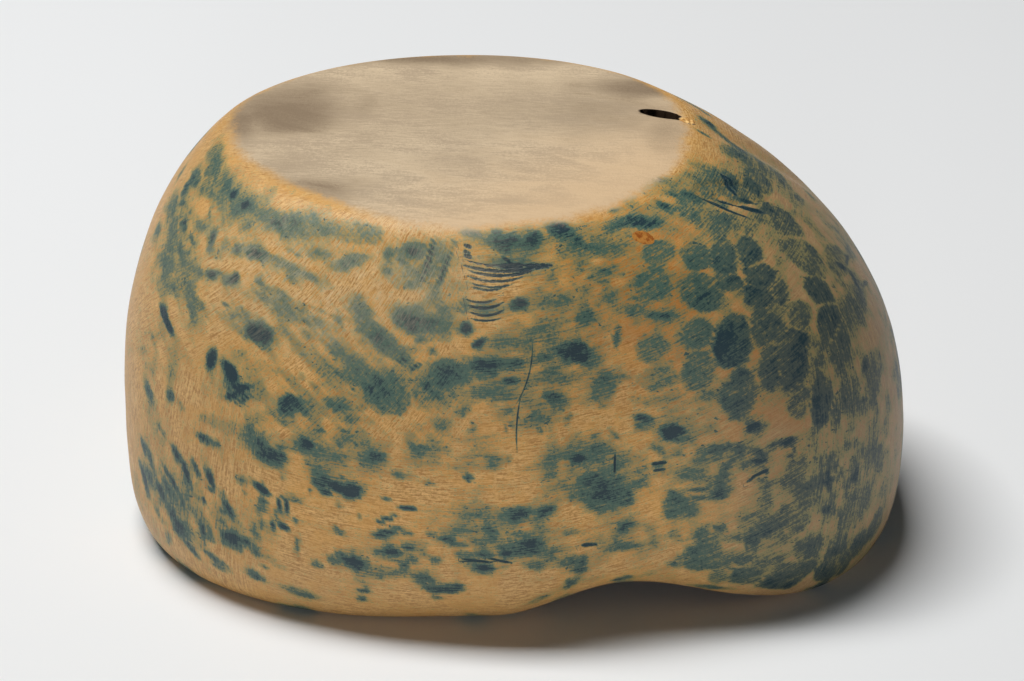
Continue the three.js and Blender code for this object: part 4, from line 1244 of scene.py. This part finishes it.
def dyed_wood(name, colours):
    """Root wood, hand sanded, dyed with blue-green ink and waxed. The ink follows the fibres, so its edges
    are feathered; thin ink looks olive over the golden wood and thick ink navy. Wax gives it a satin gloss.
    The base was sanded bare and left raw, so it is pale, greyer and dull. The slot's inside is painted
    shade: a near-black colour."""
    material, node = new_material(name)
    lay, comb, tone = [node("Attribute", out="Vector", attribute_name=field)
                       for field in ("lay", "comb", "tone")]
    ink, bare = [node("Attribute", out="Fac", attribute_name=field) for field in ("ink", "bare")]
    grey, amber, stained_and_shaded = [node("SeparateXYZ", {0: tone}, out=part) for part in "XYZ"]
    here = node("VectorMath", {0: node("TexCoord", out="Object"), 3: 1000.0}, operation="SCALE")
    fibre, smear = fibres_and_smears(node, lay, comb)
    speck = node("TexNoise", {"Vector": here, "Scale": 1.0, "Detail": 4.0, "Roughness": 0.75})
    cloud = node("TexNoise", {"Vector": here, "Scale": 0.11, "Detail": 4.0, "Roughness": 0.6})
    amount = blots_of_ink(node, here, ink, fibre, smear, speck, cloud)
    line = strokes_of_ink(node, fibre, speck)
    amount = node("Math", {0: amount, 1: line}, operation="ADD")
    dyed = waxed_colour(node, colours, amount, fibre, speck, cloud, grey, amber)
    raw = raw_colour(node, colours, here, speck, stained_and_shaded)
    edge = node("Math", {0: speck, 1: 0.8, 2: bare}, operation="MULTIPLY_ADD")
    is_bare = node("MapRange", {"Value": edge, "From Min": 0.55, "From Max": 1.25}, **SMOOTH)
    colour = node("Mix", {0: is_bare, 6: dyed, 7: raw}, data_type="RGBA")
    # Painted shade: the slot's inside is coloured near black
    hole = inside_slot(node, here)
    colour = node("Mix", {0: hole, 6: colour, 7: colours["hole"]}, data_type="RGBA")

    # Satin where it is waxed and dull where it is raw; fibres and specks stand out, and strokes are pressed
    # in
    rough = node("Math", {0: is_bare, 1: 0.3, 2: 0.34}, operation="MULTIPLY_ADD")
    rough = node("Math", {0: speck, 1: 0.2, 2: rough}, operation="MULTIPLY_ADD")
    height = node("Math", {0: speck, 1: 0.8, 2: fibre}, operation="MULTIPLY_ADD")
    height = node("Math", {0: line, 1: -0.6, 2: height}, operation="MULTIPLY_ADD")
    bump = node("Bump", {"Height": height, "Strength": 0.5, "Distance": 0.00045})
    gloss = node("Math", {0: hole, 1: -0.5, 2: 0.5}, operation="MULTIPLY_ADD")
    shader = node("BsdfPrincipled", {"Base Color": colour, "Roughness": rough, "IOR": 1.46, "Normal": bump,
                                     "Specular IOR Level": gloss})
    node("OutputMaterial", {"Surface": shader})
    return material


def clouded(name, dark, light, rim, roughness):
    """Two tones that run into one another in clouds of 2 to 4 mm, and pass into the wood round them in a
    ragged edge by the attribute edge, which is 1 at the piece's outline"""
    material, node = new_material(name)
    here = node("VectorMath", {0: node("TexCoord", out="Object"), 3: 1000.0}, operation="SCALE")
    cloud = node("TexNoise", {"Vector": here, "Scale": 0.5, "Detail": 4.0, "Roughness": 0.65})
    fine = node("TexNoise", {"Vector": here, "Scale": 1.6, "Detail": 3.0, "Roughness": 0.6})
    share = node("MapRange", {"Value": cloud, "From Min": 0.4, "From Max": 0.6}, **SMOOTH)
    colour = node("Mix", {0: share, 6: dark, 7: light}, data_type="RGBA")
    edge = node("Attribute", out="Fac", attribute_name="edge")
    edge = node("Math", {0: cloud, 1: 1.3, 2: edge}, operation="MULTIPLY_ADD")
    edge = node("Math", {0: fine, 1: 0.7, 2: edge}, operation="MULTIPLY_ADD")
    edge = node("MapRange", {"Value": edge, "From Min": 1.75, "From Max": 2.15}, **SMOOTH)
    colour = node("Mix", {0: edge, 6: colour, 7: rim}, data_type="RGBA")
    bump = node("Bump", {"Height": cloud, "Strength": 0.3, "Distance": 0.0003})
    shader = node("BsdfPrincipled", {"Base Color": colour, "Roughness": roughness, "Normal": bump})
    node("OutputMaterial", {"Surface": shader})
    return material


# Making the pieces

def place_object(name, mesh, material, slot, *nodes):
    """Makes a piece of a mesh, gives it its material, and tells what it rides on and stands in for"""
    mesh.materials.append(material)
    piece = bpy.data.objects.new(name, mesh)
    bpy.context.scene.collection.objects.link(piece)
    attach(piece, "root")
    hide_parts(*nodes)


# How far ingrown pieces stand out of the wall, in millimetres
PROUD = 0.06
# The floor's half-width and how far the camera sees, in metres
FLOOR_HALF, FAR_CLIP = 3.0, 20.0


def length(name, about, millimetres, highest):
    """A property that holds a length in metres, from its default and highest value in millimetres"""
    return FloatProperty(name=name, description=about, default=millimetres / 1000, min=0.0,
                         max=highest / 1000, precision=5, unit="LENGTH")


class BowlShape(bpy.types.PropertyGroup):
    carving: length("Carving", "How deep the marks of hand carving are", CARVING, 1.2)
    leaf_depth: length("Leaf depth", "Depth of the leaf-shaped pocket in the shoulder", LEAF_DEPTH, 1.6)
    slot_depth: length("Slot depth", "Depth of the natural slot", SLOT_DEPTH, SLOT_DEPTH)
    proud: length("Ingrown pieces stand proud", "How far they stand out of the wall", PROUD, 0.1)
    rings: IntProperty(name="Rings", description="Rings of faces on each ingrown piece", default=30, min=6)


def hex_property(label, about, colour):
    """A property that holds a colour, from its hex value"""
    return FloatVectorProperty(name=label, description=about, default=linear(colour), size=4,
                               min=0.0, max=1.0, subtype="COLOR")


def stage_length(label, about, metres):
    """A property that holds one of the stage's lengths in metres"""
    return FloatProperty(name=label, description=about, default=metres, min=0.1, unit="LENGTH")


def stage_angle(label, about, degrees):
    """A property that holds one of the stage's angles, from its degrees"""
    return FloatProperty(name=label, description=about, default=np.radians(degrees), subtype="ANGLE")


def stage_power(label, about, watts):
    """A property that holds a light's power in watts"""
    return FloatProperty(name=label, description=about, default=watts, min=0.0, unit="POWER")


class BowlColours(bpy.types.PropertyGroup):
    ochre_light: hex_property("Light ochre", "Lighter fibres of the waxed wood", "#fccd82")
    ochre_dark: hex_property("Dark ochre", "Darker fibres of the waxed wood", "#b67e38")
    ochre_rose: hex_property("Rose ochre", "Warm clouds in the waxed wood", "#e6aa54")
    greyed: hex_property("Greyed wood", "Wood greyed by handling, to the right", "#857866")
    amber: hex_property("Amber", "Wood between the dyed cells", "#b9742a")
    ink_thin: hex_property("Thin ink", "Ink that barely coloured the wood", "#7d8759")
    ink_green: hex_property("Green ink", "Full ink in the green parts", "#416a60")
    ink_grey: hex_property("Grey ink", "Full ink in the grey parts", "#40504f")
    ink_navy: hex_property("Navy ink", "The thickest ink", "#1a3842")
    resin_dark: hex_property("Dark resin", "Darker clouds of the resin", "#9a5420")
    resin_light: hex_property("Light resin", "Lighter clouds of the resin", "#c98a42")
    # The wax colour is the tone of the painted sheen on the upper front wall
    wax: hex_property("Wax", "Pale wax in the sanding lines", "#d9c9a6")
    raw_tan: hex_property("Raw tan", "Lighter raw wood of the base", "#dcc5a3")
    raw_grey: hex_property("Raw grey", "Darker raw wood of the base", "#b5a084")
    raw_peach: hex_property("Raw peach", "Warm raw wood towards the front and right", "#dcba8f")
    # The stain colour also paints the shade along the base's back edge
    raw_stain: hex_property("Raw stain", "Stains in the raw base", "#8b775e")
    # Painted shade inside the slot
    hole: hex_property("Hole", "Dark wood inside the slot", "#2a2018")


class BowlStage(bpy.types.PropertyGroup):
    floor: hex_property("Floor", "Pale floor", "#edeeee")
    key_power: stage_power("Key light", "Power of the softbox", 57.0)
    key_distance: stage_length("Key distance", "From the bowl to the softbox", 2.4)
    key_length: stage_length("Key length", "The softbox's length from left to right", 1.3)
    key_depth: stage_length("Key depth", "The softbox's length from front to back", 0.36)
    key_left: stage_angle("Key left", "How far the softbox leans to the left", 16.0)
    key_back: stage_angle("Key back", "How far the softbox leans to the back", 6.5)
    fill_power: stage_power("Fill light", "Power of the weak light in front", 7.2)
    fill_size: stage_length("Fill size", "The weak light's diameter", 0.36)
    fill_place: FloatVectorProperty(name="Fill place", description="Where the weak light hangs",
                                    default=(-0.05, -1.9, 0.22), subtype="TRANSLATION", unit="LENGTH")
    world: FloatProperty(name="World", description="Strength of the even light from all round",
                         default=0.01, min=0.0)
    sky: FloatVectorProperty(name="World colour", description="Colour of the even light",
                             default=(0.5, 0.65, 1.0), min=0.0, max=1.0, subtype="COLOR")


class BOWL_OT_body(bpy.types.Operator):
    """Carves the bowl's body and dyes it"""
    bl_idname = "root_bowl.body"
    bl_label = "Carve body"

    def execute(self, context):
        grid, angle = body_grid()
        canvas, lay, behind = body_canvas(grid, angle)
        dye = dye_attributes(canvas, plan_dye(canvas), lay[:OUTSIDE_ROWS].reshape(-1, 3), behind)
        normals = canvas.normals.reshape(-1, BODY_COLUMNS, 3)
        outer = sink(grid[:OUTSIDE_ROWS], normals, context.scene.bowl_shape)
        sunk = np.concatenate([outer, grid[OUTSIDE_ROWS:]])
        first = np.array([*BASE_CENTRE, sunk[0, :, 2].mean()])
        last = np.array([*BASE_CENTRE, HEIGHT - FLOOR_WALL])
        mesh = closed_mesh("bowl_body", sunk, first, last)
        # The inside is plain waxed wood: no ink, and the same fibres
        plain = {"tone": (0, 0, 0), "comb": (1, 0, 0), "stroke": NO_STROKE}
        for name, values in dye.items():
            values = values.reshape(OUTSIDE_ROWS, BODY_COLUMNS, *values.shape[1:])
            rest = np.zeros((len(grid) - OUTSIDE_ROWS, *values.shape[1:]))
            rest = rest + np.array(plain.get(name.split("_")[0], 0.0))
            add_attribute(mesh, name, with_poles(lay if name == "lay" else np.concatenate([values, rest])))
        wood = dyed_wood("waxed_root_wood", colours_of(context))
        place_object("bowl_body", mesh, wood, "root_wood", "bowl_shell")
        return {"FINISHED"}


# The surface coordinates run round the wall at this radius. The back's middle and its half-width, in
# degrees.
LAY_RADIUS, BEHIND_SPAN = 100.0, (90, 30)


def body_canvas(grid, angle):
    """The outside as a canvas, the surface coordinates of the whole grid, round the wall and down it in
    millimetres, and how far behind each outside point is"""
    outer = grid[:OUTSIDE_ROWS]
    canvas = Canvas(outer.reshape(-1, 3), grid_normals(outer).reshape(-1, 3))
    down = np.cumsum(np.linalg.norm(np.diff(grid, axis=0, prepend=grid[:1]), axis=-1), axis=0)
    lay = np.stack([np.broadcast_to(angle * LAY_RADIUS, down.shape), -down, 0 * down], axis=-1)
    behind = np.broadcast_to(swell(angle, *BEHIND_SPAN), outer.shape[:2]).reshape(-1)
    return canvas, lay, behind


# Grid points this near in millimetres give the top's height, and a point lies at least this far from each
TOP_REACH, TOP_LEAST = 9.0, 0.1
SETTLE_STEPS = 6
# An ingrown piece: its columns, the shares of its outline and of its depth on the rings down its side and
# under it, how deep it dives under the wall and from which share on, and how far its underside bulges
PIECE_COLUMNS = 120
UNDER_SHARES, UNDER_DEPTHS = (0.96, 0.9, 0.6, 0.3), (0.35, 0.8, 1.0, 1.0)
EDGE_SUNK, DIVES_FROM, UNDER_BULGE = 0.06, 0.66, 0.2
# Which node each piece of bark stands in for
BARK_NODES = {"bark_strands_upper": "bark_seam_upper", "bark_strands_lower": "bark_seam_lower",
              "pocket_bark_strip": "side_pocket_bark", "bark_fleck": "bark_fleck_left"}


def top_height(points):
    """The height of the bowl's top at each place: that of its grid points, weighted by one over the
    distance's fourth power"""
    grid = body_grid()[0][:OUTSIDE_ROWS].reshape(-1, 3)
    flat = points.reshape(-1, 3)
    near = np.linalg.norm(grid[:, :2] - flat[:, :2].mean(axis=0), axis=-1) < TOP_REACH
    near = grid[near & (grid[:, 2] > HEIGHT / 2)]
    away = np.linalg.norm(flat[:, None, :2] - near[None, :, :2], axis=-1)
    weight = 1.0 / (away + TOP_LEAST) ** 4
    return ((weight * near[:, 2]).sum(axis=-1) / weight.sum(axis=-1)).reshape(points.shape[:-1])


def settle(place, across, along):
    """The smooth wall's points over local coordinates, and their angle and drop. Each step solves the two
    slopes of the wall there, by the angle and by the drop, for what is missing across and along."""
    origin, right, above, out = place
    flat = origin + across[..., None] * right + along[..., None] * above
    angle = np.arctan2(flat[..., 1], flat[..., 0])
    drop = HEIGHT - flat[..., 2]
    if abs(out[2]) > LEVEL:
        flat[..., 2] = top_height(flat)
        return flat, angle, HEIGHT - flat[..., 2]
    for _ in range(SETTLE_STEPS):
        here = wall_at(angle, drop)
        by_angle = (wall_at(angle + STEP, drop) - here) / STEP
        by_drop = (wall_at(angle, drop + STEP) - here) / STEP
        miss = flat - here
        a, b = by_angle @ right, by_drop @ right
        c, d = by_angle @ above, by_drop @ above
        e, f = miss @ right, miss @ above
        det = a * d - b * c
        angle = angle + (e * d - b * f) / det
        drop = drop + (a * f - e * c) / det
    return wall_at(angle, drop), angle, drop


def ingrown_piece(name, shape):
    """A closed lens: rings run out over its top to its outline, down its side and in under it. It stands a
    hair proud of the wall in its middle and dives under the wall's surface just inside its outline."""
    piece, place = INGROWN[name]
    turn = np.linspace(0, 2 * np.pi, PIECE_COLUMNS, endpoint=False)
    share = np.concatenate([np.arange(1, shape.rings + 1) / shape.rings, UNDER_SHARES])
    sunk = np.concatenate([np.zeros(shape.rings), UNDER_DEPTHS]) * piece["depth"]
    share, turn = np.meshgrid(share, turn, indexing="ij")
    across = share * piece["length"] / 2 * np.cos(turn)
    along = share * piece["width"] / 2 * np.sin(turn) + piece["sag"] * (1 - (share * np.cos(turn)) ** 2)
    surface, angle, drop = settle(place, across, along)
    if abs(place[3][2]) < LEVEL:
        surface = surface - place[3] * (hollows(surface, shape.carving * 1000)[..., None] + LEAST_SUNK)
    rise = lerp(shape.proud * 1000, -EDGE_SUNK, ramp(share, DIVES_FROM, 1.0))
    grid = surface + place[3] * (rise - sunk[:, None])[..., None]
    mesh = closed_mesh(name, grid, grid[0].mean(axis=0), grid[-1].mean(axis=0) - place[3] * UNDER_BULGE)
    add_attribute(mesh, "edge", with_poles(share))
    return mesh, grid, angle, drop


def colours_of(context):
    """The chosen colours by name"""
    return {name: tuple(getattr(context.scene.bowl_colours, name)) for name in BowlColours.__annotations__}


class BOWL_OT_bark(bpy.types.Operator):
    """Lays the ingrown bark: two seams, the pocket's strip and the left fleck"""
    bl_idname = "root_bowl.bark"
    bl_label = "Lay bark"

    def execute(self, context):
        # Bark enclosed as the root grew: thin strands side by side with waxed wood between them, sanded
        # flush. They took more ink than the wood, so they are nearly black-blue, and run on into it as
        # strokes
        bark = dyed_wood("ingrown_bark", colours_of(context))
        canvas, lay, _ = body_canvas(*body_grid())
        plan = plan_dye(canvas)
        for name, node in BARK_NODES.items():
            place = INGROWN[name][1]
            mesh, grid, angle, drop = ingrown_piece(name, context.scene.bowl_shape)
            points = grid.reshape(-1, 3)
            column = np.argmin(np.linalg.norm(canvas.points - place[0], axis=-1)) % BODY_COLUMNS
            height = canvas.points.reshape(-1, BODY_COLUMNS, 3)[:, column, 2]
            down = np.interp(drop, HEIGHT - height, lay[:OUTSIDE_ROWS, column, 1])
            surface = Canvas(points, np.broadcast_to(place[3], points.shape))
            spread = np.stack([angle * LAY_RADIUS, down, 0 * down], axis=-1).reshape(-1, 3)
            for field, values in dye_attributes(surface, plan, spread, np.zeros(len(points))).items():
                add_attribute(mesh, field, with_poles(values.reshape(*angle.shape, *values.shape[1:])))
            place_object(name, mesh, bark, "bark", node)
        return {"FINISHED"}


class BOWL_OT_knot(bpy.types.Operator):
    """Sets the pale knot at the slot's end"""
    bl_idname = "root_bowl.knot"
    bl_label = "Set knot"

    def execute(self, context):
        colours = colours_of(context)
        # Branch wood enclosed by the root: sanded bare with the base, so it is pale and dull
        wood = clouded("encased_knot", colours["ochre_dark"], colours["ochre_light"], colours["raw_stain"],
                       roughness=0.65)
        mesh, *_ = ingrown_piece("knot_plug", context.scene.bowl_shape)
        place_object("knot_plug", mesh, wood, "knot", "slot_knot")
        return {"FINISHED"}


class BOWL_OT_resin(bpy.types.Operator):
    """Sets the spot of hard resin"""
    bl_idname = "root_bowl.resin"
    bl_label = "Set resin"

    def execute(self, context):
        colours = colours_of(context)
        # Resin that hardened in a pocket: amber-brown, clouded with wood dust, smoother than the wood
        resin = clouded("tree_resin", colours["resin_dark"], colours["resin_light"], colours["ochre_dark"],
                        roughness=0.36)
        mesh, *_ = ingrown_piece("resin_drop", context.scene.bowl_shape)
        place_object("resin_drop", mesh, resin, "resin", "resin_pocket")
        return {"FINISHED"}


class BOWL_OT_stage(bpy.types.Operator):
    """Sets the floor, the soft studio lights and the camera"""
    bl_idname = "root_bowl.stage"
    bl_label = "Set stage"

    def execute(self, context):
        stage = context.scene.bowl_stage
        mesh = bpy.data.meshes.new("floor")
        corners = [(-FLOOR_HALF, -FLOOR_HALF, 0), (FLOOR_HALF, -FLOOR_HALF, 0), (FLOOR_HALF, FLOOR_HALF, 0),
                   (-FLOOR_HALF, FLOOR_HALF, 0)]
        mesh.from_pydata(corners, [], [(0, 1, 2, 3)])
        material, node = new_material("matt_studio_board")
        shader = node("BsdfPrincipled", {"Base Color": tuple(stage.floor), "Roughness": 0.9,
                                         "Specular IOR Level": 0.1})
        node("OutputMaterial", {"Surface": shader})
        mesh.materials.append(material)
        floor = bpy.data.objects.new("floor", mesh)
        context.scene.collection.objects.link(floor)

        # The photograph's shadow reaches 20 mm past the belly at the right and ends under it in front,
        # softly at the right and sharply in front: a long softbox stands over the bowl, a little to the
        # left
        key = bpy.data.lights.new("key", "AREA")
        key.shape, key.size, key.size_y = "RECTANGLE", stage.key_length, stage.key_depth
        key.energy = stage.key_power
        lamp = bpy.data.objects.new("key", key)
        lamp.rotation_euler = (-stage.key_back, -stage.key_left, 0.0)
        lamp.location = lamp.rotation_euler.to_matrix() @ Vector((0, 0, stage.key_distance))
        context.scene.collection.objects.link(lamp)

        # A weak wide light behind the camera lifts the front wall as the studio's far side does
        fill = bpy.data.lights.new("fill", "AREA")
        fill.shape, fill.size, fill.energy = "DISK", stage.fill_size, stage.fill_power
        lamp = bpy.data.objects.new("fill", fill)
        lamp.location = stage.fill_place
        lamp.rotation_euler = (-lamp.location).to_track_quat("-Z", "Y").to_euler()
        context.scene.collection.objects.link(lamp)

        world = bpy.data.worlds.new("soft_room")
        world.use_nodes = True
        background = world.node_tree.nodes["Background"]
        background.inputs["Color"].default_value = (*stage.sky, 1.0)
        background.inputs["Strength"].default_value = stage.world
        context.scene.world = world

        camera = bpy.data.objects.new("photo_camera", bpy.data.cameras.new("photo_camera"))
        camera.data.lens, camera.data.sensor_width = LENS, SENSOR
        camera.location = CAMERA_AT / 1000
        camera.rotation_euler = (np.radians(90.0 - CAMERA_ELEVATION), 0.0, 0.0)
        camera.data.clip_end = FAR_CLIP
        context.scene.collection.objects.link(camera)
        context.scene.camera = camera
        context.scene.view_settings.view_transform = "Standard"
        return {"FINISHED"}


class BOWL_PT_panel(bpy.types.Panel):
    """Lists the bowl's operators, sizes and colours"""
    bl_idname = "BOWL_PT_panel"
    bl_label = "Root bowl"
    bl_space_type = "VIEW_3D"
    bl_region_type = "UI"
    bl_category = "Root bowl"

    def draw(self, context):
        for operator in OPERATORS:
            self.layout.operator(operator.bl_idname)
        for group in (context.scene.bowl_shape, context.scene.bowl_colours, context.scene.bowl_stage):
            for name in type(group).__annotations__:
                self.layout.prop(group, name)


GROUPS = {"bowl_shape": BowlShape, "bowl_colours": BowlColours, "bowl_stage": BowlStage}
OPERATORS = [BOWL_OT_body, BOWL_OT_bark, BOWL_OT_knot, BOWL_OT_resin, BOWL_OT_stage]


def register():
    for group in (*GROUPS.values(), *OPERATORS, BOWL_PT_panel):
        bpy.utils.register_class(group)
    for name, group in GROUPS.items():
        setattr(bpy.types.Scene, name, PointerProperty(type=group))


def unregister():
    for name in GROUPS:
        delattr(bpy.types.Scene, name)
    for group in (BOWL_PT_panel, *reversed(OPERATORS), *reversed(list(GROUPS.values()))):
        bpy.utils.unregister_class(group)


def main():
    register()
    bpy.ops.root_bowl.body()
    bpy.ops.root_bowl.bark()
    bpy.ops.root_bowl.knot()
    bpy.ops.root_bowl.resin()
    bpy.ops.root_bowl.stage()


if __name__ == "__main__":
    main()
